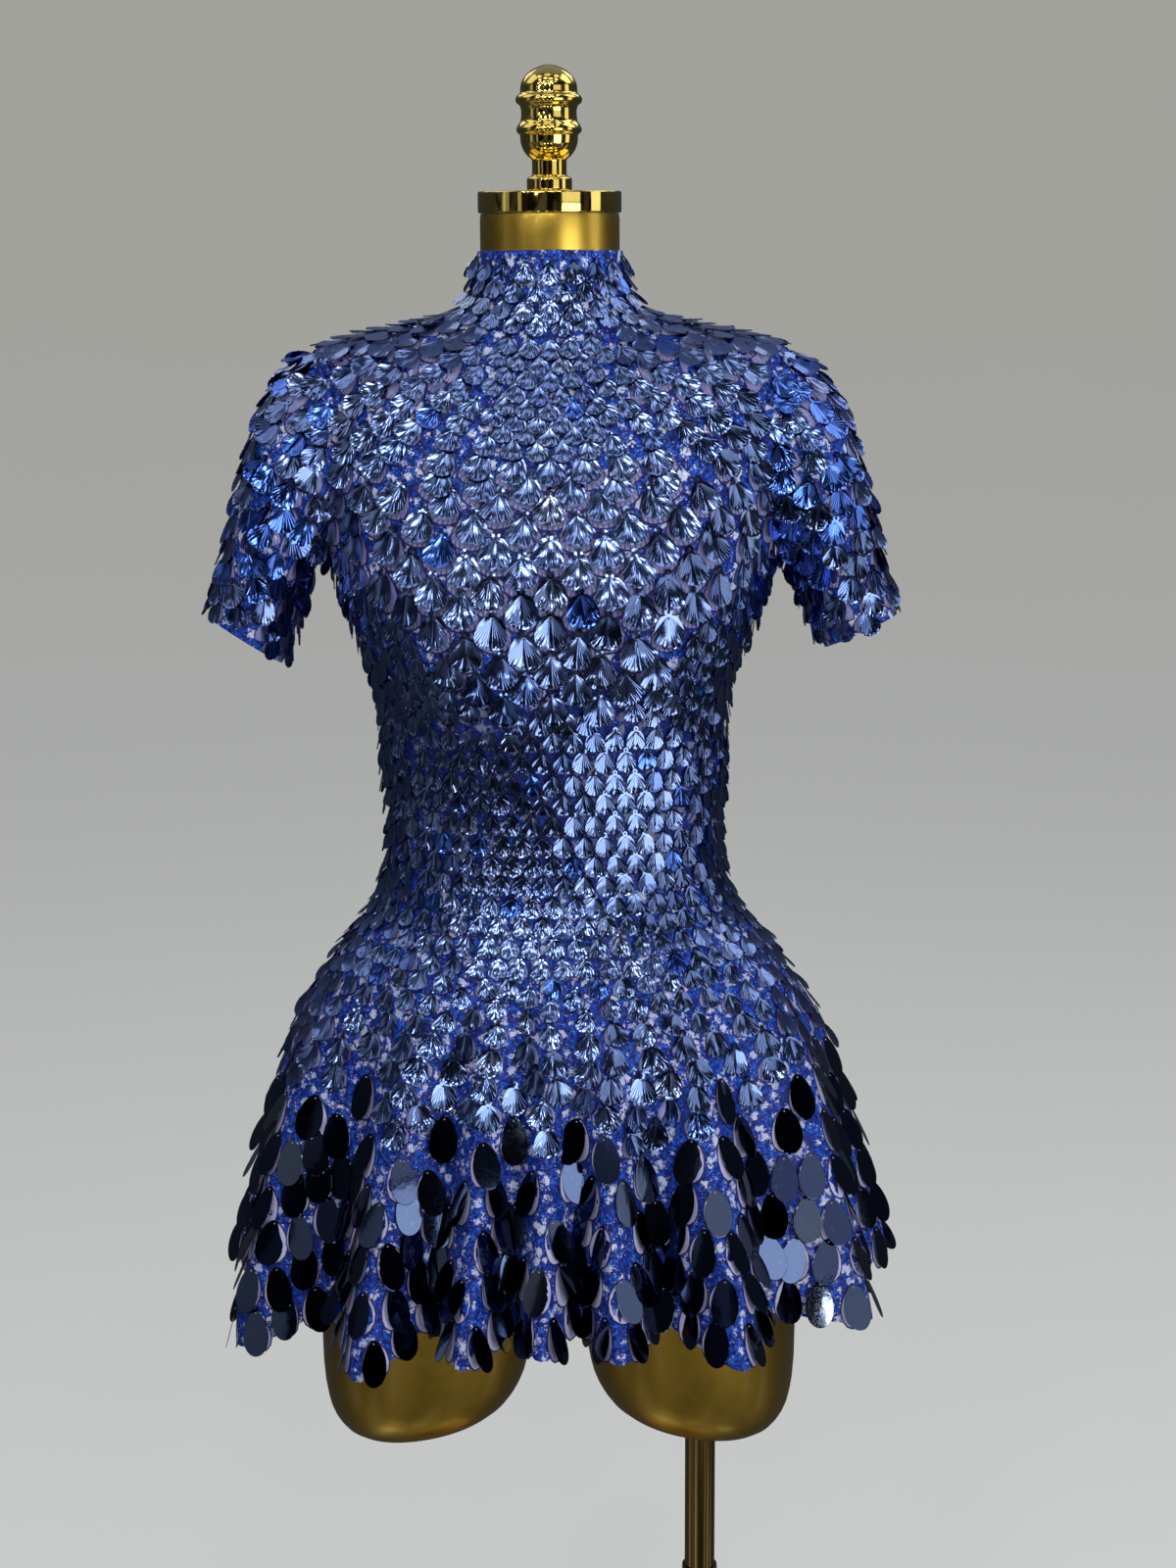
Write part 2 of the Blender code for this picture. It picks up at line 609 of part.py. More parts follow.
def build_zip():
    rows = spaced(0.004, RUN_TOP - 0.001, 34)
    outer, inner = [], []
    for run in rows:
        p, n = zip_line(run)
        w = ZIP_WIDTH / 2
        outer.append([p + Vector((x, 0, 0)) for x in (w, -w)])
        inner.append([p + Vector((x, 0, 0)) - n * CLOTH for x in (w, -w)])
    cloth_wall("zip_chain", outer, inner, "zip_nylon")

    # slider: a small waisted plate that lies on the chain, with an arch on it
    at, n = zip_line(RUN_TOP - SLIDER["below_top"])
    up = Vector((0, -n.z, n.y))
    if up.z < 0:
        up = -up
    side = Vector((1, 0, 0))
    outline = ((-0.0028, -0.0055), (0.0028, -0.0055), (0.0034, -0.0015),
               (0.0042, 0.0045), (0.0030, 0.0060), (-0.0030, 0.0060),
               (-0.0042, 0.0045), (-0.0034, -0.0015))
    verts, faces = [], []
    for h in (SLIDER["foot"], SLIDER["face"]):
        for x, z in outline:
            verts.append(at + side * x + up * z + n * h)
    m = len(outline)
    faces.append(tuple(range(m)))
    faces.append(tuple(m + k for k in range(m))[::-1])
    for k in range(m):
        q = (k + 1) % m
        faces.append((k, m + k, m + q, q))
    slider = mesh_object("zip_slider", verts, faces, "zip_metal", sharp=30.0)
    # the arch stands on the plate; the pull's bar turns inside it
    leg, inside, outside = SLIDER["face"] - 0.0007, SLIDER["arch_in"], SLIDER["arch_out"]
    arch = ((-0.0032, leg), (-0.0032, outside - 0.0010), (-0.0022, outside),
            (0.0022, outside), (0.0032, outside - 0.0010), (0.0032, leg),
            (0.0020, leg), (0.0020, inside), (-0.0020, inside), (-0.0020, leg))
    verts, faces = [], []
    for x in (-0.0008, 0.0008):
        for z, h in arch:
            verts.append(at + side * x + up * (z + SLIDER["arch_up"]) + n * h)
    m = len(arch)
    faces.append(tuple(range(m)))
    faces.append(tuple(m + k for k in range(m))[::-1])
    for k in range(m):
        q = (k + 1) % m
        faces.append((k, m + k, m + q, q))
    bridge = mesh_object("slider_arch", verts, faces, "zip_metal", sharp=30.0)
    bridge.hide_render = True
    bridge.display_type = 'WIRE'
    join = slider.modifiers.new("arch", 'BOOLEAN')
    join.operation = 'UNION'
    join.solver = 'EXACT'
    join.object = bridge

    # pull: a flat tab hanging from its bar, which is the hinge
    hinge = at + n * ((SLIDER["face"] + SLIDER["arch_in"]) / 2) + up * SLIDER["arch_up"]
    foot, foot_n = zip_line(RUN_TOP - SLIDER["below_top"] - PULL["length"])
    down = (foot + foot_n * PULL["foot_lift"] - hinge).normalized()
    rise = Vector((0, -down.z, down.y))
    if rise.y < 0:
        rise = -rise
    bar, eye_end = PULL["bar"], PULL["eye_end"]
    wide, narrow, length = PULL["width"] / 2, PULL["tip"] / 2, PULL["length"]
    outline = [(wide * 0.7, -bar), (wide, -bar * 0.3), (wide, eye_end),
               (narrow, eye_end + 0.0050), (narrow, length - 0.0020),
               (narrow * 0.6, length), (-narrow * 0.6, length),
               (-narrow, length - 0.0020), (-narrow, eye_end + 0.0050),
               (-wide, eye_end), (-wide, -bar * 0.3), (-wide * 0.7, -bar)]
    hole = PULL["eye"] / 2
    eye = [(hole, bar), (hole, bar + 0.0008), (hole, bar + 0.0020), (hole, eye_end - 0.0016),
           (hole * 0.8, eye_end - 0.0010), (hole * 0.3, eye_end - 0.0008),
           (-hole * 0.3, eye_end - 0.0008), (-hole * 0.8, eye_end - 0.0010),
           (-hole, eye_end - 0.0016), (-hole, bar + 0.0020), (-hole, bar + 0.0008), (-hole, bar)]
    verts, faces = [], []
    m = len(outline)
    for h in (-PULL["thick"] / 2, PULL["thick"] / 2):
        for loop in (outline, eye):
            for x, d in loop:
                verts.append(hinge + side * x + down * d + rise * h)
    for k in range(m):
        q = (k + 1) % m
        a, b, c, d = k, q, m + q, m + k
        faces.append((a, b, c, d))
        faces.append((2 * m + a, 2 * m + d, 2 * m + c, 2 * m + b))
        faces.append((a, 2 * m + a, 2 * m + b, b))
        faces.append((d, c, 2 * m + c, 2 * m + d))
    mesh_object("zip_pull", verts, faces, "zip_metal", sharp=30.0, origin=hinge)


# ------------------------------------------------------------------ form
def form_gap(run):
    """Cloth to form: full on the body, close at the top of the collar."""
    s = min(1.0, max(0.0, (run - 0.535) / (RUN_TOP - 0.535)))
    near = body_at("width", RUN_TOP) - NECK_RADIUS
    return FORM_GAP + (near - FORM_GAP) * s


def form_ring(run):
    pts = []
    for k in range(FORM_SEGS):
        t = 2 * math.pi * k / FORM_SEGS
        pts.append(body_point(t, run) - body_normal(t, run) * form_gap(run))
    return pts


def build_form():
    rings = [[Vector((*oval(2 * math.pi * k / FORM_SEGS, NECK_RADIUS, NECK_RADIUS, NECK_RADIUS), z))
              for k in range(FORM_SEGS)] for z in (NECK_TOP, 1.500)]
    for run in (0.611, 0.590, 0.572, 0.553, 0.530, 0.500, 0.470, 0.452, 0.437, 0.415,
                0.380, 0.340, 0.300, 0.268, 0.236, 0.200, 0.160, 0.115, 0.070,
                0.034, 0.014):
        rings.append(form_ring(run))
    for z in (0.960, 0.920, 0.875, 0.830, 0.800, 0.780, 0.769):
        rings.append([Vector((*oval(2 * math.pi * k / FORM_SEGS, hip_at("width", z),
                                    hip_at("front", z), hip_at("back", z), 2.1), z))
                      for k in range(FORM_SEGS)])
    torso = loft("form_torso", rings, "form_gold")

    def thigh(name, side):
        segs = 24
        rings = []
        for z in (0.850, 0.800, 0.740, 0.670, 0.625, 0.600, 0.585, 0.573, 0.565, 0.561):
            ring = []
            for k in range(segs):
                t = 2 * math.pi * k / segs
                x, y = oval(t, thigh_at("width", z), thigh_at("front", z), thigh_at("back", z), 2.1)
                fade = min(1.0, max(0.0, (0.67 - z) / 0.06))
                ring.append(Vector((side * (thigh_at("centre", z) + x), y,
                                    z - THIGH_SLANT * x * fade)))
            rings.append(ring)
        obj = loft(name, rings, "form_gold")
        obj.hide_render = True
        obj.display_type = 'WIRE'
        return obj

    socket = lathe("socket_cutter", [(0.500, SOCKET_RADIUS), (SOCKET_TOP, SOCKET_RADIUS)],
                   "form_gold", centre=(POLE_X, 0), segs=24)
    socket.hide_render = True
    socket.display_type = 'WIRE'
    for part, op in ((thigh("thigh_left", 1), 'UNION'), (thigh("thigh_right", -1), 'UNION'),
                     (socket, 'DIFFERENCE')):
        mod = torso.modifiers.new(part.name, 'BOOLEAN')
        mod.operation = op
        mod.solver = 'EXACT'
        mod.object = part


def build_hardware():
    z = CAP_FOOT
    lathe("neck_cap", [(z, 0.0500), (z, CAP_RADIUS - 0.0008), (z + 0.0008, CAP_RADIUS),
                       (z + CAP_HEIGHT - 0.0012, CAP_RADIUS), (z + CAP_HEIGHT, CAP_RADIUS - 0.0012)],
          "polished_brass", segs=40)
    foot = z + CAP_HEIGHT + SEAM
    lathe("finial", [(foot + h, r) for h, r in FINIAL], "polished_brass", segs=24, sharp=50.0)

    lathe("upper_pole", [(POLE_FOOT, POLE_RADIUS - 0.001), (POLE_FOOT + 0.001, POLE_RADIUS),
                         (POLE_TOP, POLE_RADIUS)], "pole_brass", centre=(POLE_X, 0), segs=24)
    top = TUBE_TOP + SEAM
    lathe("height_bush", [(top, TUBE_INNER), (top, BUSH_RADIUS), (top + BUSH_HEIGHT - 0.002, BUSH_RADIUS),
                          (top + BUSH_HEIGHT, BUSH_RADIUS - 0.0008), (top + BUSH_HEIGHT, TUBE_INNER),
                          (top, TUBE_INNER)], "black_plastic", centre=(POLE_X, 0), segs=24)
    low = BASE_HEIGHT + SEAM
    lathe("lower_tube", [(low, TUBE_INNER), (low, TUBE_OUTER), (TUBE_TOP, TUBE_OUTER),
                         (TUBE_TOP, TUBE_INNER), (low, TUBE_INNER)], "pole_brass",
          centre=(POLE_X, 0), segs=24)
    r = TUBE_OUTER + SEAM
    lathe("base_flange", [(low, r), (low, 0.0340), (low + 0.0030, 0.0340), (low + 0.0050, 0.0320),
                          (low + 0.0070, 0.0220), (low + 0.0220, 0.0195), (low + 0.0240, 0.0180),
                          (low + 0.0240, r), (low, r)], "pole_brass", centre=(POLE_X, 0), segs=24)
    lathe("base", [(0.0, BASE_RADIUS - 0.0010), (0.0010, BASE_RADIUS), (BASE_HEIGHT - 0.0022, BASE_RADIUS),
                   (BASE_HEIGHT - 0.0006, BASE_RADIUS - 0.0012), (BASE_HEIGHT, BASE_RADIUS - 0.0030)],
          "pole_brass", segs=48)


# ------------------------------------------------------------------ build
for old in list(bpy.data.objects):
    bpy.data.objects.remove(old, do_unlink=True)
MATS = {name: material(name) for name in MATERIALS}

build_bodice()
build_collar()
build_sleeve("sleeve_left", 1)
build_sleeve("sleeve_right", -1)
build_skirt()
build_zip()
build_form()
build_hardware()
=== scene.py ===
"""Looks of a sequin party dress on a limbless dress form with a brass stand.

The cloth, sequins, zip, form and stand are made here from the same sizes and
surfaces as the construction model: metres, +Z up, the front faces -Y.
"""
import bpy
import bmesh
import math
import numpy as np
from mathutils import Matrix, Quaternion, Vector

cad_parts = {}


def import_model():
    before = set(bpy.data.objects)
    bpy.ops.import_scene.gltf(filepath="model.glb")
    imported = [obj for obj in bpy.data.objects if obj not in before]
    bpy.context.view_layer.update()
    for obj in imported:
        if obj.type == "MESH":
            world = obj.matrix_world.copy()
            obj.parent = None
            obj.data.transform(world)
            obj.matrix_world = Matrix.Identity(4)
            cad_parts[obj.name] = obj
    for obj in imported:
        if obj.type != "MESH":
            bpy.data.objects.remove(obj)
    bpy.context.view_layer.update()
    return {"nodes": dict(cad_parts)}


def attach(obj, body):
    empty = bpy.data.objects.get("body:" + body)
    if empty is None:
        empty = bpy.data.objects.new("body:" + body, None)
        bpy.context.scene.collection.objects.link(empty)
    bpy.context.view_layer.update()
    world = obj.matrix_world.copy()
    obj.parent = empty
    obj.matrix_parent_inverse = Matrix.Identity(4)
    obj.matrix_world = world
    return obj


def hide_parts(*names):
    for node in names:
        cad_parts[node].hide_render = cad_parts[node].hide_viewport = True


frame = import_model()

SCENE = bpy.context.scene
SCENE.view_settings.view_transform = "Standard"

# ------------------------------------------------------------------ sizes
CLOTH = 0.0013
SEAM = 0.0003
ZIP_WIDTH, ZIP_GAP = 0.0056, 0.0004
ARMHOLE_FRONT, ARMHOLE_BACK = math.radians(20.0), math.radians(18.0)
FORM_GAP = 0.0050
NECK_RADIUS, NECK_TOP = 0.0515, 1.5160
CAP_RADIUS, CAP_HEIGHT, CAP_FOOT = 0.0530, 0.0155, 1.5163
POLE_X, POLE_RADIUS, POLE_FOOT, POLE_TOP = 0.115, 0.0123, 0.130, 0.700
SOCKET_RADIUS, SOCKET_TOP = 0.0127, 0.702
TUBE_OUTER, TUBE_INNER, TUBE_TOP = 0.0142, 0.0129, 0.398
BUSH_RADIUS, BUSH_HEIGHT = 0.01435, 0.026
BASE_RADIUS, BASE_HEIGHT = 0.190, 0.006
BUST = dict(x=0.082, z=1.212, depth=0.020, spread_x=0.052, spread_z=0.052)
RUN_ARMPIT, RUN_TIP, RUN_NECK, RUN_TOP = 0.298, 0.440, 0.556, 0.611

BODY_COLUMNS = ("run", "z_front", "z_side", "z_back", "width", "front", "back", "square")
BODY = (
    (0.000, 0.977, 0.977, 0.977, 0.1530, 0.1060, 0.1020, 2.15),
    (0.018, 0.993, 0.993, 0.993, 0.1405, 0.1010, 0.0945, 2.15),
    (0.038, 1.011, 1.011, 1.011, 0.1328, 0.0970, 0.0890, 2.15),
    (0.095, 1.070, 1.070, 1.070, 0.1272, 0.0920, 0.0850, 2.20),
    (0.145, 1.120, 1.120, 1.120, 0.1300, 0.0950, 0.0880, 2.20),
    (0.200, 1.172, 1.172, 1.174, 0.1340, 0.1030, 0.0950, 2.25),
    (0.236, 1.208, 1.208, 1.212, 0.1475, 0.1110, 0.1010, 2.30),
    (0.268, 1.240, 1.240, 1.247, 0.1590, 0.1150, 0.1050, 2.35),
    (0.298, 1.269, 1.272, 1.280, 0.1680, 0.1130, 0.1080, 2.40),
    (0.335, 1.300, 1.309, 1.318, 0.1725, 0.1050, 0.1070, 2.45),
    (0.371, 1.330, 1.346, 1.354, 0.1765, 0.0950, 0.1025, 2.45),
    (0.408, 1.360, 1.384, 1.389, 0.1790, 0.0840, 0.0940, 2.35),
    (0.440, 1.386, 1.415, 1.417, 0.1775, 0.0740, 0.0840, 2.20),
    (0.458, 1.397, 1.4225, 1.429, 0.1630, 0.0690, 0.0790, 2.10),
    (0.500, 1.413, 1.4310, 1.443, 0.1240, 0.0615, 0.0715, 2.00),
    (0.535, 1.427, 1.4370, 1.452, 0.0910, 0.0575, 0.0665, 2.00),
    (0.556, 1.436, 1.4440, 1.458, 0.0725, 0.0560, 0.0630, 2.00),
    (0.574, 1.450, 1.4580, 1.468, 0.0600, 0.0548, 0.0590, 2.00),
    (0.592, 1.468, 1.4720, 1.478, 0.0556, 0.0540, 0.0560, 2.00),
    (0.611, 1.490, 1.4890, 1.489, 0.0538, 0.0538, 0.0538, 2.00),
)
SLEEVE_COLUMNS = ("at", "out_x", "out_z", "in_x", "in_z", "depth")
SLEEVE = (
    (0.00, 0.1790, 1.4145, 0.1690, 1.2730, 0.0570),
    (0.12, 0.2000, 1.4025, 0.1740, 1.2665, 0.0575),
    (0.28, 0.2160, 1.3740, 0.1790, 1.2600, 0.0570),
    (0.48, 0.2300, 1.3330, 0.1850, 1.2490, 0.0550),
    (0.68, 0.2420, 1.2900, 0.1910, 1.2320, 0.0530),
    (0.86, 0.2520, 1.2500, 0.1985, 1.2070, 0.0510),
    (1.00, 0.2610, 1.2170, 0.2080, 1.1860, 0.0495),
)
CUFFS = dict(right=dict(drop=0.004, lift=0.010), left=dict(drop=-0.006, lift=0.008))
SKIRT_COLUMNS = ("fall", "width", "front", "back", "flute")
SKIRT = (
    (0.000, 0.1530, 0.1060, 0.1020, 0.00),
    (0.017, 0.1665, 0.1130, 0.1120, 0.04),
    (0.049, 0.1865, 0.1240, 0.1270, 0.12),
    (0.081, 0.2045, 0.1340, 0.1390, 0.25),
    (0.130, 0.2200, 0.1470, 0.1520, 0.45),
    (0.212, 0.2380, 0.1640, 0.1690, 0.78),
    (0.290, 0.2530, 0.1800, 0.1830, 1.00),
)
FLUTES = (
    (-176, 0.017, 0.010), (-153, 0.022, 0.014), (-127, 0.019, 0.011),
    (-102, 0.018, 0.016), (-70, 0.017, 0.030), (-41, 0.022, 0.026),
    (-20, 0.019, 0.014), (-3, 0.015, 0.009), (14, 0.019, 0.010),
    (39, 0.023, 0.017), (68, 0.018, 0.008), (96, 0.015, 0.004),
    (119, 0.020, 0.010), (143, 0.019, 0.015), (165, 0.020, 0.010),
)
HEM_FALL, HEM_SIDE = 0.272, 0.012
HIP_COLUMNS = ("z", "width", "front", "back")
HIPS = (
    (0.977, 0.1470, 0.1005, 0.0965), (0.950, 0.1570, 0.1030, 0.1030),
    (0.915, 0.1690, 0.1050, 0.1110), (0.875, 0.1800, 0.1060, 0.1170),
    (0.830, 0.1850, 0.1050, 0.1180), (0.795, 0.1780, 0.0980, 0.1100),
    (0.776, 0.1450, 0.0800, 0.0880), (0.768, 0.0900, 0.0480, 0.0520),
)
THIGH_COLUMNS = ("z", "centre", "width", "front", "back")
THIGH = (
    (0.850, 0.0880, 0.0930, 0.0960, 0.1080), (0.800, 0.0930, 0.0930, 0.0960, 0.1050),
    (0.740, 0.0985, 0.0900, 0.0930, 0.0980), (0.670, 0.1035, 0.0870, 0.0890, 0.0910),
    (0.625, 0.1060, 0.0845, 0.0860, 0.0870), (0.595, 0.1065, 0.0800, 0.0820, 0.0830),
    (0.576, 0.1070, 0.0710, 0.0730, 0.0740), (0.566, 0.1075, 0.0585, 0.0600, 0.0610),
    (0.561, 0.1080, 0.0360, 0.0380, 0.0380),
)
THIGH_SLANT = 0.16
FINIAL_COLUMNS = ("height", "radius")
FINIAL = (
    (0.0000, 0.0155), (0.0012, 0.0166), (0.0085, 0.0166), (0.0102, 0.0150),
    (0.0112, 0.0127), (0.0218, 0.0127), (0.0250, 0.0160), (0.0300, 0.0194),
    (0.0350, 0.0210), (0.0400, 0.0214), (0.0416, 0.0234), (0.0438, 0.0240),
    (0.0462, 0.0232), (0.0500, 0.0208), (0.0560, 0.0203), (0.0608, 0.0214),
    (0.0626, 0.0238), (0.0650, 0.0244), (0.0676, 0.0234), (0.0694, 0.0211),
    (0.0750, 0.0206), (0.0810, 0.0178), (0.0860, 0.0122), (0.0890, 0.0055),
)


# ------------------------------------------------------------------ surfaces
def smooth(xs, ys, x):
    """Monotone cubic through the table's points."""
    if x <= xs[0]:
        return ys[0]
    if x >= xs[-1]:
        return ys[-1]
    i = 0
    while x > xs[i + 1]:
        i += 1

    def slope(j):
        return (ys[j + 1] - ys[j]) / (xs[j + 1] - xs[j])

    def tangent(j):
        if j == 0:
            return slope(0)
        if j == len(xs) - 1:
            return slope(j - 1)
        a, b = slope(j - 1), slope(j)
        if a * b <= 0.0:
            return 0.0
        h0, h1 = xs[j] - xs[j - 1], xs[j + 1] - xs[j]
        w0, w1 = 2 * h1 + h0, h1 + 2 * h0
        return (w0 + w1) / (w0 / a + w1 / b)

    h = xs[i + 1] - xs[i]
    s = (x - xs[i]) / h
    m0, m1 = tangent(i), tangent(i + 1)
    return ((1 + 2 * s) * (1 - s) ** 2 * ys[i] + s * (1 - s) ** 2 * h * m0
            + s * s * (3 - 2 * s) * ys[i + 1] + s * s * (s - 1) * h * m1)


def reader(names, table, count=900):
    """look(key, x) for arrays, read from a dense copy of the smooth columns."""
    step = 1 if table[-1][0] > table[0][0] else -1
    xs = [step * row[0] for row in table]
    grid = np.linspace(xs[0], xs[-1], count)
    cols = {key: np.array([smooth(xs, [row[k] for row in table], g) for g in grid])
            for k, key in enumerate(names)}
    return lambda key, x: np.interp(step * np.asarray(x, float), grid, cols[key])


body_at = reader(BODY_COLUMNS, BODY)
sleeve_at = reader(SLEEVE_COLUMNS, SLEEVE)
skirt_at = reader(SKIRT_COLUMNS, SKIRT)
hip_at = reader(HIP_COLUMNS, HIPS)
thigh_at = reader(THIGH_COLUMNS, THIGH)
finial_at = reader(FINIAL_COLUMNS, FINIAL)


def ease(x, a, b):
    t = np.clip((np.asarray(x, float) - a) / (b - a), 0.0, 1.0)
    return t * t * (3 - 2 * t)


def unit(v):
    return v / np.maximum(np.linalg.norm(v, axis=-1, keepdims=True), 1e-12)


def oval(turn, width, front, back, square=2.0):
    sx, cy = np.sin(turn), np.cos(turn)
    depth = np.where(cy >= 0, front, back)
    r = (np.abs(sx / width) ** square + np.abs(cy / depth) ** square) ** (-1.0 / square)
    return r * sx, -r * cy


def body_plain(turn, run):
    turn, run = np.broadcast_arrays(np.asarray(turn, float), np.asarray(run, float))
    x, y = oval(turn, body_at("width", run), body_at("front", run),
                body_at("back", run), body_at("square", run))
    c = np.cos(turn)
    side = body_at("z_side", run)
    end = np.where(c >= 0, body_at("z_front", run), body_at("z_back", run))
    z = side + (end - side) * c * c
    for s in (-1, 1):
        g = np.exp(-((x - s * BUST["x"]) / BUST["spread_x"]) ** 2
                   - ((z - BUST["z"]) / BUST["spread_z"]) ** 2)
        y = y - np.where(c > 0, BUST["depth"] * g * np.clip(1.6 * c, 0, 1), 0.0)
    return np.stack([x, y, z], -1)


def armhole_loop(phi):
    mid, half = (RUN_ARMPIT + RUN_TIP) / 2, (RUN_TIP - RUN_ARMPIT) / 2

    def spot(f):
        s = np.sin(f)
        return (math.pi / 2 - np.where(s >= 0, ARMHOLE_FRONT, ARMHOLE_BACK) * s,
                mid + half * np.cos(f))

    p = body_plain(*spot(phi))
    n = normals(body_plain, *spot(phi), 1)
    along = unit(body_plain(*spot(phi + 1e-3)) - body_plain(*spot(phi - 1e-3)))
    off = unit(np.cross(along, n))
    centre = body_plain(math.pi / 2, mid)
    off = np.where(np.sum(off * (centre - p), -1, keepdims=True) < 0, -off, off)
    return p, n, off


def sleeve_plain(phi, at, side):
    """side +1 is the wearer's left sleeve, -1 the mirrored right one."""
    cuff = CUFFS["left" if side > 0 else "right"]
    phi, at = np.broadcast_arrays(np.asarray(phi, float), np.asarray(at, float))
    zero = np.zeros_like(at)
    out = np.stack([sleeve_at("out_x", at), zero, sleeve_at("out_z", at)], -1)
    inn = np.stack([sleeve_at("in_x", at), zero, sleeve_at("in_z", at)], -1)
    c = (out + inn) / 2
    cp, sp = np.cos(phi)[..., None], np.sin(phi)[..., None]
    d = np.stack([zero, -sleeve_at("depth", at), zero], -1)
    e = c + (out - c) * cp + d * sp
    s = np.clip((at - 0.45) / 0.55, 0, None) ** 2
    e[..., 2] += s * (cuff["lift"] * np.sin(phi) - cuff["drop"] * (1 - np.cos(phi)) / 2)
    k = ease(at, 0.0, 0.30)[..., None]
    p, n, off = armhole_loop(phi)
    e = (p + off * (2 * SEAM)) * (1 - k) + e * k
    return e * np.array([side, 1.0, 1.0])


def flute_wave(turn):
    deg = (np.degrees(np.asarray(turn, float)) + 180.0) % 360.0 - 180.0
    rows = sorted(FLUTES)
    rows = [(rows[-1][0] - 360,) + rows[-1][1:]] + rows + [(rows[0][0] + 360,) + rows[0][1:]]
    push, low = np.zeros_like(deg), np.zeros_like(deg)
    for (a0, d0, l0), (a1, d1, l1) in zip(rows, rows[1:]):
        hit = (deg >= a0) & (deg <= a1)
        s = (deg - a0) / (a1 - a0)
        e = s * s * (3 - 2 * s)
        wave = np.cos(2 * math.pi * s)
        push = np.where(hit, (d0 + (d1 - d0) * e) * wave, push)
        low = np.where(hit, (l0 + (l1 - l0) * e) * (0.5 + 0.5 * wave), low)
    return push, low


def skirt_full(turn):
    """Length of the skirt from seam to hem at an angle."""
    return HEM_FALL + HEM_SIDE * np.sin(turn) ** 2 + flute_wave(turn)[1]


def skirt_plain(turn, part):
    turn, part = np.broadcast_arrays(np.asarray(turn, float), np.asarray(part, float))
    push, _ = flute_wave(turn)
    fall = skirt_full(turn) * part
    w, f, b = skirt_at("width", fall), skirt_at("front", fall), skirt_at("back", fall)
    x, y = oval(turn, w, f, b, 2.15)
    out = unit(np.stack([x / w ** 2, y / np.where(y < 0, f, b) ** 2, np.zeros_like(x)], -1))
    p = np.stack([x, y, BODY[0][1] - fall], -1)
    return p + out * (push * skirt_at("flute", fall))[..., None]


def normals(surf, a, b, sign, da=2e-3, db=1e-3):
    """Outward unit normals of a surface of two parameters."""
    u = surf(a + da, b) - surf(a - da, b)
    v = surf(a, b + db) - surf(a, b - db)
    return sign * unit(np.cross(u, v))


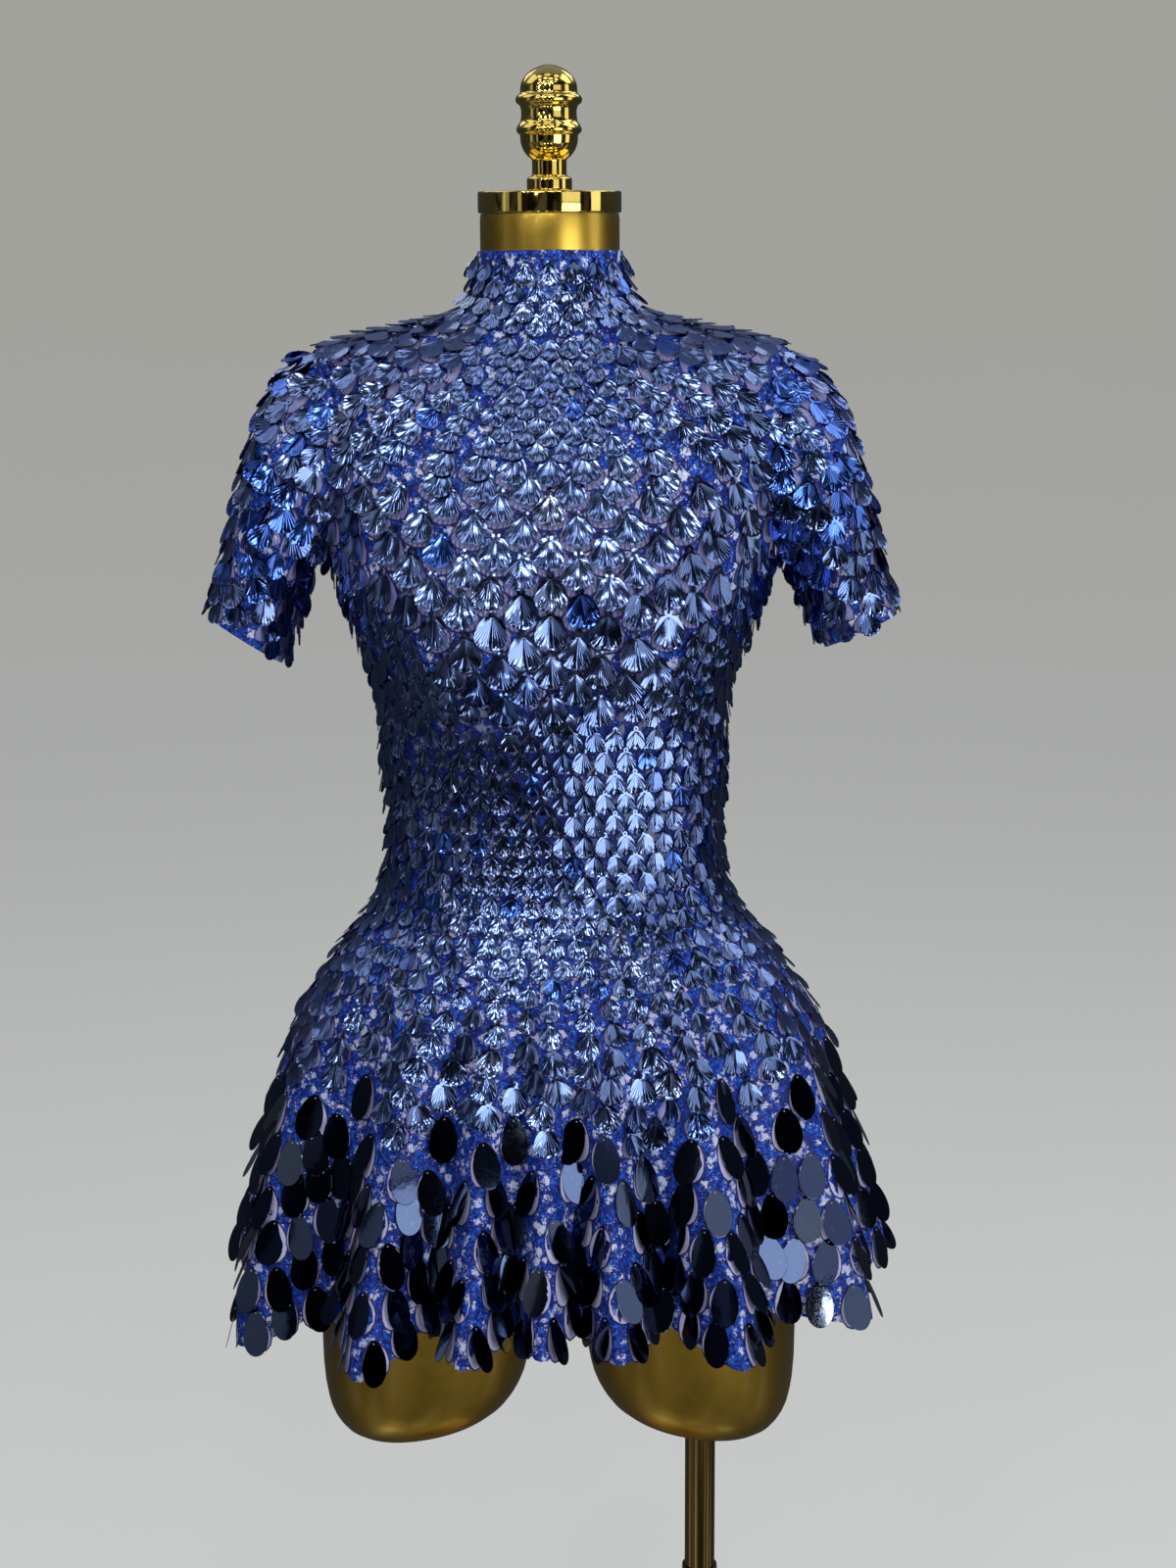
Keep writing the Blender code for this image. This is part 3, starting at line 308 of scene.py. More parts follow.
# Creases of the cloth: soft troughs (-) and ridges (+).
#   panel, path as pairs of the panel's own two parameters, width, depth in mm
# body: turn in degrees and run in mm; skirt: turn and part; sleeves: phi, at
CREASES = (
    ("body", ((54, 176), (63, 142), (72, 110), (82, 82), (90, 58)), 6.5, -4.2),
    ("body", ((64, 184), (75, 150), (86, 118), (98, 88)), 9.0, 3.0),
    ("body", ((-53, 180), (-62, 146), (-71, 112), (-82, 80), (-92, 60)), 6.0, -3.8),
    ("body", ((-66, 178), (-77, 144), (-89, 110), (-100, 84)), 10.0, 2.6),
    ("body", ((84, 282), (70, 262), (58, 250)), 7.0, -1.5),
    ("body", ((88, 262), (76, 236), (66, 214)), 9.0, 1.2),
    ("body", ((-84, 280), (-72, 258), (-62, 244)), 6.0, -1.4),
    ("body", ((-88, 256), (-79, 228), (-70, 206)), 10.0, 1.3),
    ("body", ((112, 232), (126, 214), (143, 205)), 9.0, -1.9),
    ("body", ((108, 186), (124, 168), (146, 160), (164, 163)), 11.0, -2.6),
    ("body", ((104, 140), (121, 128), (139, 131), (158, 124)), 9.0, -2.3),
    ("body", ((118, 98), (134, 92), (155, 97)), 8.0, -1.7),
    ("body", ((110, 162), (130, 148), (150, 147)), 10.0, 1.8),
    ("body", ((-110, 226), (-128, 210), (-146, 206)), 10.0, -1.8),
    ("body", ((-106, 182), (-122, 172), (-140, 160), (-166, 157)), 10.0, -2.5),
    ("body", ((-103, 136), (-124, 132), (-141, 124), (-160, 129)), 9.5, -2.2),
    ("body", ((-115, 101), (-136, 95), (-152, 90)), 8.5, -1.9),
    ("body", ((-112, 158), (-132, 151), (-148, 144)), 9.0, 1.6),
    ("body", ((140, 398), (128, 380), (114, 352)), 11.0, -1.4),
    ("body", ((-138, 402), (-124, 376), (-112, 350)), 10.0, -1.5),
    ("sleeve_left", ((150, 0.42), (112, 0.36), (78, 0.42)), 8.0, -2.4),
    ("sleeve_left", ((168, 0.66), (128, 0.58), (84, 0.66), (52, 0.62)), 9.0, -2.2),
    ("sleeve_left", ((206, 0.40), (244, 0.36), (286, 0.44)), 8.5, -2.3),
    ("sleeve_left", ((212, 0.70), (254, 0.64), (300, 0.72)), 9.5, -2.0),
    ("sleeve_left", ((140, 0.52), (100, 0.50), (66, 0.54)), 9.0, 1.8),
    ("sleeve_left", ((30, 0.86), (10, 0.80), (-24, 0.88)), 7.0, -1.6),
    ("sleeve_right", ((154, 0.38), (118, 0.34), (74, 0.38)), 8.5, -2.5),
    ("sleeve_right", ((166, 0.62), (122, 0.60), (90, 0.68), (50, 0.64)), 8.0, -2.3),
    ("sleeve_right", ((204, 0.44), (248, 0.38), (282, 0.40)), 9.0, -2.1),
    ("sleeve_right", ((214, 0.72), (250, 0.66), (292, 0.70)), 8.5, -2.2),
    ("sleeve_right", ((138, 0.49), (104, 0.48), (70, 0.52)), 9.5, 1.7),
    ("sleeve_right", ((24, 0.78), (-6, 0.84), (-34, 0.82)), 7.5, -1.7),
    ("skirt", ((-57, 1.02), (-56, 0.80), (-54, 0.58)), 8.0, -4.6),
    ("skirt", ((-31, 1.02), (-30, 0.82), (-30, 0.52)), 7.5, -5.2),
    ("skirt", ((-12, 1.02), (-11.5, 0.84), (-11, 0.60)), 6.5, -4.4),
    ("skirt", ((6, 1.02), (5.5, 0.80), (5, 0.50)), 7.0, -4.9),
    ("skirt", ((26, 1.02), (25, 0.84), (25, 0.56)), 8.0, -5.4),
    ("skirt", ((52, 1.02), (51, 0.82), (50, 0.62)), 8.5, -4.3),
    ("skirt", ((82, 1.02), (80, 0.86), (79, 0.64)), 7.5, -3.6),
    ("skirt", ((108, 1.02), (107, 0.84), (106, 0.54)), 8.0, -4.6),
    ("skirt", ((131, 1.02), (131, 0.80), (130, 0.56)), 7.0, -4.9),
    ("skirt", ((154, 1.02), (153, 0.86), (153, 0.62)), 7.5, -4.2),
    ("skirt", ((-165, 1.02), (-164, 0.84), (-163, 0.60)), 7.0, -4.6),
    ("skirt", ((-140, 1.02), (-139, 0.82), (-139, 0.52)), 8.5, -4.8),
    ("skirt", ((-114, 1.02), (-113, 0.84), (-113, 0.62)), 7.5, -4.1),
    ("skirt", ((-86, 1.02), (-86, 0.86), (-85, 0.66)), 7.0, -3.9),
    ("skirt", ((-70.5, 1.02), (-69.5, 0.80), (-68, 0.50)), 8.0, 3.8),
    ("skirt", ((-41.5, 1.02), (-41, 0.78), (-40, 0.42)), 7.5, 4.8),
    ("skirt", ((-20.5, 1.02), (-20, 0.82), (-19.5, 0.46)), 6.5, 4.4),
    ("skirt", ((-3, 1.02), (-3, 0.80), (-2.5, 0.55)), 6.0, 3.7),
    ("skirt", ((14.5, 1.02), (14, 0.84), (13.5, 0.40)), 7.0, 4.6),
    ("skirt", ((39, 1.02), (39, 0.80), (38, 0.44)), 8.0, 4.9),
    ("skirt", ((67.5, 1.02), (68, 0.84), (67, 0.52)), 7.0, 3.9),
    ("skirt", ((96, 1.02), (95, 0.82), (95, 0.60)), 6.5, 3.2),
    ("skirt", ((119.5, 1.02), (119, 0.80), (118, 0.46)), 7.5, 4.4),
    ("skirt", ((143, 1.02), (143, 0.84), (142, 0.48)), 7.0, 4.5),
    ("skirt", ((165.5, 1.02), (165, 0.80), (164, 0.54)), 8.0, 4.0),
    ("skirt", ((-175.5, 1.02), (-176, 0.82), (-176, 0.50)), 6.5, 4.3),
    ("skirt", ((-153, 1.02), (-153, 0.80), (-152, 0.42)), 8.0, 4.7),
    ("skirt", ((-127.5, 1.02), (-127, 0.84), (-126, 0.50)), 7.0, 4.1),
    ("skirt", ((-102, 1.02), (-102, 0.82), (-101, 0.56)), 7.5, 3.8),
)


def crease_paths(panel, plain, scale):
    """Each crease of a panel as a fine polyline in space."""
    made = []
    for name, path, wide, depth in CREASES:
        if name != panel:
            continue
        pts = np.array(path, float)
        t = np.linspace(0, len(pts) - 1, 8 * (len(pts) - 1) + 1)
        a = np.interp(t, np.arange(len(pts)), pts[:, 0])
        b = np.interp(t, np.arange(len(pts)), pts[:, 1])
        line = plain(np.radians(a), b * scale)
        fade = np.sin(np.pi * np.linspace(0.06, 0.94, len(t))) ** 0.7
        if panel == "skirt":
            fade = np.sin(np.pi * np.linspace(0.5, 0.94, len(t))) ** 0.8
        made.append((line, wide / 1000.0, depth / 1000.0 * fade))
    return made


def relief(points, paths):
    """Outward offset of the creases at points of the plain surface."""
    off = np.zeros(points.shape[:-1])
    flat = points.reshape(-1, 3)
    for line, wide, depth in paths:
        lo, hi = line.min(0) - 4 * wide, line.max(0) + 4 * wide
        near = np.all((flat > lo) & (flat < hi), axis=1)
        if not near.any():
            continue
        q = flat[near]
        d2 = ((q[:, None, :] - line[None]) ** 2).sum(-1)
        j = d2.argmin(1)
        push = depth[j] * np.exp(-d2[np.arange(len(j)), j] / wide ** 2)
        shaped = off.reshape(-1)
        shaped[near] += push
    return off


def with_relief(plain, paths, sign):
    def surf(a, b):
        p = plain(a, b)
        return p + normals(plain, a, b, sign) * relief(p, paths)[..., None]
    return surf


def left_plain(phi, at):
    return sleeve_plain(phi, at, 1)


def right_plain(phi, at):
    return sleeve_plain(phi, at, -1)


body = with_relief(body_plain, crease_paths("body", body_plain, 0.001), 1)
sleeve_left = with_relief(left_plain, crease_paths("sleeve_left", left_plain, 1.0), 1)
sleeve_right = with_relief(right_plain, crease_paths("sleeve_right", right_plain, 1.0), -1)
skirt = with_relief(skirt_plain, crease_paths("skirt", skirt_plain, 1.0), -1)


def armhole_bite(run, widest):
    mid, half = (RUN_ARMPIT + RUN_TIP) / 2, (RUN_TIP - RUN_ARMPIT) / 2
    return widest * np.sqrt(np.clip(1.0 - ((run - mid) / half) ** 2, 0.0, 1.0))


def side_turn(run, widest):
    return (math.pi / 2 - (SEAM / 2) / body_at("width", run) - armhole_bite(run, widest))


def zip_turn(run):
    return math.pi - (ZIP_WIDTH / 2 + ZIP_GAP) / body_at("back", run)


# ------------------------------------------------------------------ materials
class Maker:
    """A small helper that lays out one material's nodes."""

    def __init__(self, name):
        self.mat = bpy.data.materials.new(name)
        self.mat.use_nodes = True
        self.tree = self.mat.node_tree
        self.tree.nodes.clear()
        self.out = self.tree.nodes.new("ShaderNodeOutputMaterial")
        self.shader = self.tree.nodes.new("ShaderNodeBsdfPrincipled")
        self.tree.links.new(self.shader.outputs[0], self.out.inputs[0])
        self.coord = None

    def place(self):
        if self.coord is None:
            self.coord = self.tree.nodes.new("ShaderNodeTexCoord").outputs["Object"]
        return self.coord

    def put(self, socket, value):
        if isinstance(value, bpy.types.NodeSocket):
            self.tree.links.new(value, socket)
        elif isinstance(value, (tuple, list)) and len(value) == 3 and socket.type == "RGBA":
            socket.default_value = (*value, 1.0)
        else:
            socket.default_value = value

    def noise(self, scale, detail=3.0, rough=0.5, warp=0.0, at=None):
        n = self.tree.nodes.new("ShaderNodeTexNoise")
        self.put(n.inputs["Vector"], at if at is not None else self.place())
        n.inputs["Scale"].default_value = scale
        n.inputs["Detail"].default_value = detail
        n.inputs["Roughness"].default_value = rough
        n.inputs["Distortion"].default_value = warp
        return n

    def cells(self, scale, feature="F1", random=1.0, at=None):
        n = self.tree.nodes.new("ShaderNodeTexVoronoi")
        n.feature = feature
        self.put(n.inputs["Vector"], at if at is not None else self.place())
        n.inputs["Scale"].default_value = scale
        n.inputs["Randomness"].default_value = random
        return n

    def math(self, op, a, b=0.0, clamp=False):
        n = self.tree.nodes.new("ShaderNodeMath")
        n.operation = op
        n.use_clamp = clamp
        self.put(n.inputs[0], a)
        self.put(n.inputs[1], b)
        return n.outputs[0]

    def span(self, value, a, b, lo=0.0, hi=1.0):
        n = self.tree.nodes.new("ShaderNodeMapRange")
        n.interpolation_type = "SMOOTHSTEP"
        self.put(n.inputs["Value"], value)
        n.inputs["From Min"].default_value = a
        n.inputs["From Max"].default_value = b
        n.inputs["To Min"].default_value = lo
        n.inputs["To Max"].default_value = hi
        return n.outputs["Result"]

    def mix(self, fac, a, b, mode="MIX"):
        n = self.tree.nodes.new("ShaderNodeMix")
        n.data_type = "RGBA"
        n.blend_type = mode
        self.put(n.inputs["Factor"], fac)
        self.put(n.inputs["A"] if False else n.inputs[6], a)
        self.put(n.inputs[7], b)
        return n.outputs[2]

    def ramp(self, fac, *stops):
        n = self.tree.nodes.new("ShaderNodeValToRGB")
        self.put(n.inputs[0], fac)
        band = n.color_ramp
        while len(band.elements) > 1:
            band.elements.remove(band.elements[-1])
        band.elements[0].position = stops[0][0]
        band.elements[0].color = (*stops[0][1], 1.0)
        for at, colour in stops[1:]:
            e = band.elements.new(at)
            e.color = (*colour, 1.0)
        return n.outputs[0]

    def attribute(self, name, part="Fac"):
        n = self.tree.nodes.new("ShaderNodeAttribute")
        n.attribute_name = name
        return n.outputs[part]

    def bump(self, height, strength, distance):
        n = self.tree.nodes.new("ShaderNodeBump")
        n.inputs["Strength"].default_value = strength
        n.inputs["Distance"].default_value = distance
        self.put(n.inputs["Height"], height)
        self.tree.links.new(n.outputs[0], self.shader.inputs["Normal"])
        return n

    def set(self, **values):
        for key, value in values.items():
            self.put(self.shader.inputs[key.replace("_", " ")], value)
        return self.mat


def warped(m, scale, amount):
    """Object coordinates pushed about by noise, so cells lose their round look."""
    n = m.noise(scale, 2.0, 0.5)
    sub = m.tree.nodes.new("ShaderNodeVectorMath")
    sub.operation = "SUBTRACT"
    m.tree.links.new(n.outputs["Color"], sub.inputs[0])
    sub.inputs[1].default_value = (0.5, 0.5, 0.5)
    mul = m.tree.nodes.new("ShaderNodeVectorMath")
    mul.operation = "SCALE"
    m.tree.links.new(sub.outputs[0], mul.inputs[0])
    mul.inputs["Scale"].default_value = amount
    add = m.tree.nodes.new("ShaderNodeVectorMath")
    add.operation = "ADD"
    m.tree.links.new(m.place(), add.inputs[0])
    m.tree.links.new(mul.outputs[0], add.inputs[1])
    return add.outputs[0]


def print_colours_and_shade(m):
    """The all-over print: mottled cobalt with pale starry patches and specks, darkened with painted shade between the
    sequins round the waist and on the skirt.
    """
    at = warped(m, 210.0, 0.0030)
    mott = m.noise(300.0, 5.0, 0.70, 0.3, at=at)
    base = m.ramp(mott.outputs["Fac"],
                  (0.40, (0.002, 0.004, 0.050)), (0.465, (0.004, 0.014, 0.180)),
                  (0.515, (0.005, 0.042, 0.400)), (0.57, (0.009, 0.100, 0.640)),
                  (0.64, (0.024, 0.165, 0.740)), (0.75, (0.150, 0.320, 0.860)))
    big = m.noise(88.0, 3.0, 0.6, 0.6)
    base = m.mix(m.span(big.outputs["Fac"], 0.52, 0.64, 0.0, 0.72), base, (0.005, 0.014, 0.170))
    jag = m.noise(480.0, 4.0, 0.78)
    rough = m.span(jag.outputs["Fac"], 0.3, 0.7, -0.24, 0.24)
    stars = m.cells(118.0, at=warped(m, 230.0, 0.0070))
    edge = m.math("ADD", stars.outputs["Distance"], rough)
    rare = m.noise(62.0, 2.0, 0.5)
    edge = m.math("ADD", edge, m.span(rare.outputs["Fac"], 0.38, 0.58, 0.16, -0.06))
    pale = m.span(edge, 0.345, 0.295)
    tint = m.noise(150.0, 2.0, 0.5)
    white = m.mix(m.span(tint.outputs["Fac"], 0.35, 0.65), (0.820, 0.810, 0.960), (0.640, 0.720, 0.980))
    base = m.mix(pale, base, white)
    dots = m.cells(420.0, at=warped(m, 300.0, 0.0012))
    some = m.span(m.noise(120.0, 3.0, 0.65).outputs["Fac"], 0.47, 0.60)
    base = m.mix(m.math("MULTIPLY", m.span(dots.outputs["Distance"], 0.30, 0.18), m.math("MULTIPLY", some, 0.70)),
                 base, (0.560, 0.620, 0.920))
    specks = m.cells(470.0)
    few = m.math("MULTIPLY", m.span(specks.outputs["Distance"], 0.22, 0.14),
                 m.span(m.noise(88.0, 3.0, 0.6).outputs["Fac"], 0.57, 0.63))
    base = m.mix(m.math("MULTIPLY", few, 0.85), base, (0.480, 0.070, 0.080))
    # round the waist the printed motifs crowd together and their dark edges take over; the same darkening also stands
    # in as painted shade in the gaps between the small sequins there
    sep = m.tree.nodes.new("ShaderNodeSeparateXYZ")
    m.tree.links.new(m.place(), sep.inputs[0])
    crowd = m.math("MULTIPLY", m.span(sep.outputs[2], 1.185, 1.150), m.span(sep.outputs[2], 1.005, 1.040))
    base = m.mix(m.math("MULTIPLY", crowd, 0.70), base, (0.006, 0.014, 0.130))
    # painted shade: the skirt's ground is a little deeper than the yoke's, standing in for the shade the skirt hangs
    # in between the sequins
    low = m.math("MULTIPLY", m.span(sep.outputs[2], 1.030, 0.970), 0.20)
    return m.mix(low, base, (0.003, 0.018, 0.230))


def cloth_material(name, reverse=False):
    m = Maker(name)
    colour = print_colours_and_shade(m)
    if reverse:
        soft = m.noise(60.0, 4.0, 0.6, 0.5)
        colour = m.mix(m.span(soft.outputs["Fac"], 0.42, 0.62, 0.05, 0.34),
                       (0.560, 0.540, 0.690), (0.100, 0.150, 0.520))
    knit = m.noise(1500.0, 2.0, 0.6)
    rows = m.cells(1050.0, random=0.55)
    grain = m.math("ADD", knit.outputs["Fac"], rows.outputs["Distance"])
    m.bump(grain, 0.30, 0.00035)
    rough = m.span(m.noise(120.0, 3.0).outputs["Fac"], 0.3, 0.7, 0.50, 0.66)
    return m.set(Base_Color=colour, Roughness=rough, Sheen_Weight=0.07,
                 Sheen_Roughness=0.45, Sheen_Tint=(0.5, 0.6, 1.0), Specular_IOR_Level=0.24)


def foil_material(name, base, deep, slate, rough=0.105, coat=0.35):
    """Metallised plastic of the sequins, a little different on each one."""
    m = Maker(name)
    tone = m.attribute("tone")
    colour = m.mix(m.span(tone, 0.0, 0.45), deep, base)
    colour = m.mix(m.span(tone, 0.60, 1.0), colour, slate)
    rub = m.noise(420.0, 3.0, 0.6)
    colour = m.mix(m.span(rub.outputs["Fac"], 0.58, 0.74, 0.0, 0.10), colour, (0.20, 0.26, 0.42))
    fine = m.noise(900.0, 2.0, 0.5)
    r = m.span(fine.outputs["Fac"], 0.3, 0.7, rough - 0.03, rough + 0.05)
    m.bump(m.noise(170.0, 2.0, 0.5).outputs["Fac"], 0.05, 0.0006)
    return m.set(Base_Color=colour, Metallic=1.0, Roughness=r, Coat_Weight=coat,
                 Coat_Roughness=0.04, Coat_IOR=1.5)


def print_shell_material(name, face, line):
    """The printed motif under each sequin: pale, with dark ribs at its edge."""
    m = Maker(name)
    fan = m.tree.nodes.new("ShaderNodeUVMap")
    fan.uv_map = "fan"
    sep = m.tree.nodes.new("ShaderNodeSeparateXYZ")
    m.tree.links.new(fan.outputs[0], sep.inputs[0])
    rib = m.math("PINGPONG", m.math("MULTIPLY", sep.outputs[0], 17.0), 0.5)
    out = m.span(sep.outputs[1], 0.62, 0.86)
    tick = m.math("MULTIPLY", m.span(rib, 0.22, 0.08), out)
    cloudy = m.noise(190.0, 3.0, 0.6)
    colour = m.mix(m.span(cloudy.outputs["Fac"], 0.35, 0.70, 0.0, 0.6), face, (0.16, 0.20, 0.58))
    colour = m.mix(m.math("MULTIPLY", tick, 0.85), colour, line)
    m.bump(m.noise(1500.0, 2.0).outputs["Fac"], 0.2, 0.0003)
    return m.set(Base_Color=colour, Roughness=0.6, Sheen_Weight=0.12, Specular_IOR_Level=0.3)


def plain_print(name, colour, other):
    m = Maker(name)
    n = m.noise(240.0, 3.0, 0.6)
    m.bump(m.noise(1500.0, 2.0).outputs["Fac"], 0.2, 0.0003)
    return m.set(Base_Color=m.mix(n.outputs["Fac"], colour, other), Roughness=0.6,
                 Specular_IOR_Level=0.3)


def metal_material(name, colour, worn, rough, spread, scale, coat=0.0, bump=0.04, stretch=None):
    m = Maker(name)
    at = m.place()
    if stretch is not None:
        mp = m.tree.nodes.new("ShaderNodeMapping")
        mp.inputs["Scale"].default_value = stretch
        m.tree.links.new(at, mp.inputs["Vector"])
        at = mp.outputs[0]
    cloud = m.noise(scale, 4.0, 0.6, 0.3, at=at)
    fine = m.noise(scale * 14.0, 3.0, 0.6, at=at)
    tone = m.mix(m.span(cloud.outputs["Fac"], 0.35, 0.68), colour, worn)
    r = m.span(m.math("ADD", cloud.outputs["Fac"], m.math("MULTIPLY", fine.outputs["Fac"], 0.5)),
               0.5, 1.0, rough - spread, rough + spread)
    m.bump(fine.outputs["Fac"], bump, 0.0004)
    return m.set(Base_Color=tone, Metallic=1.0, Roughness=r, Coat_Weight=coat, Coat_Roughness=0.08)


def plastic_material(name, colour, other, rough):
    m = Maker(name)
    n = m.noise(160.0, 4.0, 0.6)
    m.bump(m.noise(1400.0, 3.0, 0.6).outputs["Fac"], 0.12, 0.0003)
    return m.set(Base_Color=m.mix(n.outputs["Fac"], colour, other),
                 Roughness=m.span(n.outputs["Fac"], 0.3, 0.7, rough - 0.06, rough + 0.08),
                 Specular_IOR_Level=0.45)


M = dict(
    print=cloth_material("printed_cloth"),
    reverse=cloth_material("cloth_reverse", reverse=True),
    shell=foil_material("shell_foil", (0.115, 0.168, 0.365), (0.050, 0.092, 0.280),
                        (0.155, 0.200, 0.340)),
    # a bluer copy of the foil: painted reflection, standing in for the blue cast that sequins seen edge-on take from
    # the blue cloth they mirror
    shell_reflected_blue=foil_material("shell_foil_painted_blue_reflection", (0.060, 0.140, 0.520), (0.020, 0.070, 0.420),
                             (0.150, 0.210, 0.420)),
    drop=foil_material("drop_foil", (0.030, 0.046, 0.095), (0.010, 0.017, 0.065),
                       (0.072, 0.088, 0.122), rough=0.06, coat=0.28),
    # near-black fill of each tab's hole and of the dimple below it: painted shade
    eye=plain_print("hole_painted_shade", (0.006, 0.008, 0.020), (0.020, 0.026, 0.060)),
    bead=plain_print("thread_bead", (0.260, 0.290, 0.480), (0.500, 0.520, 0.700)),
    motif=print_shell_material("print_motif", (0.380, 0.370, 0.640), (0.024, 0.024, 0.140)),
    motif_edge=plain_print("print_edge", (0.014, 0.012, 0.100), (0.030, 0.026, 0.170)),
    drop_motif=plain_print("print_drop", (0.520, 0.500, 0.800), (0.640, 0.620, 0.860)),
    form=metal_material("form_gold", (0.620, 0.400, 0.055), (0.540, 0.335, 0.043), 0.33, 0.05, 9.0,
                        coat=0.25, bump=0.03),
    brass=metal_material("polished_brass", (0.780, 0.580, 0.150), (0.670, 0.470, 0.100), 0.07, 0.03,
                         30.0, bump=0.015),
    pole=metal_material("pole_brass", (0.520, 0.350, 0.110), (0.400, 0.255, 0.070), 0.15, 0.05, 26.0,
                        bump=0.03, stretch=(1.0, 1.0, 0.12)),
    bush=plastic_material("black_plastic", (0.010, 0.010, 0.011), (0.020, 0.020, 0.021), 0.42),
    tape=plastic_material("zip_tape", (0.012, 0.030, 0.170), (0.020, 0.050, 0.260), 0.75),
    coil=plastic_material("zip_coil", (0.014, 0.030, 0.180), (0.024, 0.050, 0.260), 0.38),
    zinc=metal_material("zip_metal", (0.060, 0.085, 0.220), (0.110, 0.130, 0.240), 0.28, 0.08, 240.0,
                        coat=0.3, bump=0.06),
)


# ------------------------------------------------------------------ meshes
def finish_mesh(name, verts, faces, mats, index=None, sharp=None, tone=None, fan=None):
    """A mesh object from arrays: faces are an (n, 3) or (n, 4) array, or lists."""
    mesh = bpy.data.meshes.new(name)
    verts = np.asarray(verts, np.float32)
    if isinstance(faces, np.ndarray):
        k = faces.shape[1]
        mesh.vertices.add(len(verts))
        mesh.vertices.foreach_set("co", verts.ravel())
        mesh.loops.add(faces.size)
        mesh.loops.foreach_set("vertex_index", faces.astype(np.int32).ravel())
        mesh.polygons.add(len(faces))
        mesh.polygons.foreach_set("loop_start", np.arange(0, faces.size, k, dtype=np.int32))
        mesh.update(calc_edges=True)
    else:
        mesh.from_pydata([tuple(v) for v in verts], [], faces)
    for m in mats:
        mesh.materials.append(M[m])
    if index is not None:
        mesh.polygons.foreach_set("material_index", np.asarray(index, np.int32))
    if fan is not None:
        layer = mesh.uv_layers.new(name="fan")
        idx = np.zeros(len(mesh.loops), np.int32)
        mesh.loops.foreach_get("vertex_index", idx)
        layer.data.foreach_set("uv", np.asarray(fan, np.float32)[idx].ravel())
    if tone is not None:
        att = mesh.attributes.new("tone", "FLOAT", "POINT")
        att.data.foreach_set("value", np.asarray(tone, np.float32))
    mesh.validate()
    mesh.shade_smooth()
    if sharp is not None:
        mesh.set_sharp_from_angle(angle=math.radians(sharp))
    obj = bpy.data.objects.new(name, mesh)
    SCENE.collection.objects.link(obj)
    return obj


def cloth_shell(name, outer, norm, closed=False, thick=CLOTH, flip=False):
    """A thin wall of cloth: printed outside, pale reverse and raw edge."""
    rows, cols = outer.shape[:2]
    inner = outer - norm * thick
    verts = np.concatenate([outer.reshape(-1, 3), inner.reshape(-1, 3)])
    skin = rows * cols
    idx = np.arange(skin).reshape(rows, cols)
    nxt = np.roll(idx, -1, axis=1) if closed else idx[:, 1:]
    cur = idx if closed else idx[:, :-1]
    top = np.stack([cur[:-1], nxt[:-1], nxt[1:], cur[1:]], -1).reshape(-1, 4)
    if flip:
        top = top[:, ::-1]
    under = top[:, ::-1] + skin
    rims = []

    def rim(path, back):
        a, b = path[:-1], path[1:]
        q = np.stack([a, a + skin, b + skin, b], -1)
        rims.append(q[:, ::-1] if back else q)

    loop = np.append(idx[0], idx[0, 0]) if closed else idx[0]
    rim(loop, flip)
    loop = np.append(idx[-1], idx[-1, 0]) if closed else idx[-1]
    rim(loop, not flip)
    if not closed:
        rim(idx[:, 0], not flip)
        rim(idx[:, -1], flip)
    rims = np.concatenate(rims)
    faces = np.concatenate([top, under, rims])
    index = np.concatenate([np.zeros(len(top)), np.ones(len(under) + len(rims))])
    return finish_mesh(name, verts, faces, ("print", "reverse"), index, sharp=55.0)


def grid(surf, sign, a, b):
    """Points and outward normals of a surface on two equal arrays."""
    p = surf(a, b)
    n = normals(surf, a, b, sign)
    return p, n


def spread(lo, hi, step):
    n = max(2, int(round(abs(hi - lo) / step)))
    return np.linspace(lo, hi, n + 1)


def body_panel(name, runs, left, right, cols, inset=(0.0, 0.0)):
    r = runs.copy()
    r[0] += inset[0]
    r[-1] -= inset[1]
    lo, hi = left(runs), right(runs)
    t = lo[:, None] + (hi - lo)[:, None] * np.linspace(0, 1, cols + 1)[None]
    rr = np.repeat(r[:, None], cols + 1, 1)
    p, n = grid(body, 1, t, np.clip(rr, 0.0012, RUN_TOP - 0.0012))
    p = body(t, rr)
    return cloth_shell(name, p, n)


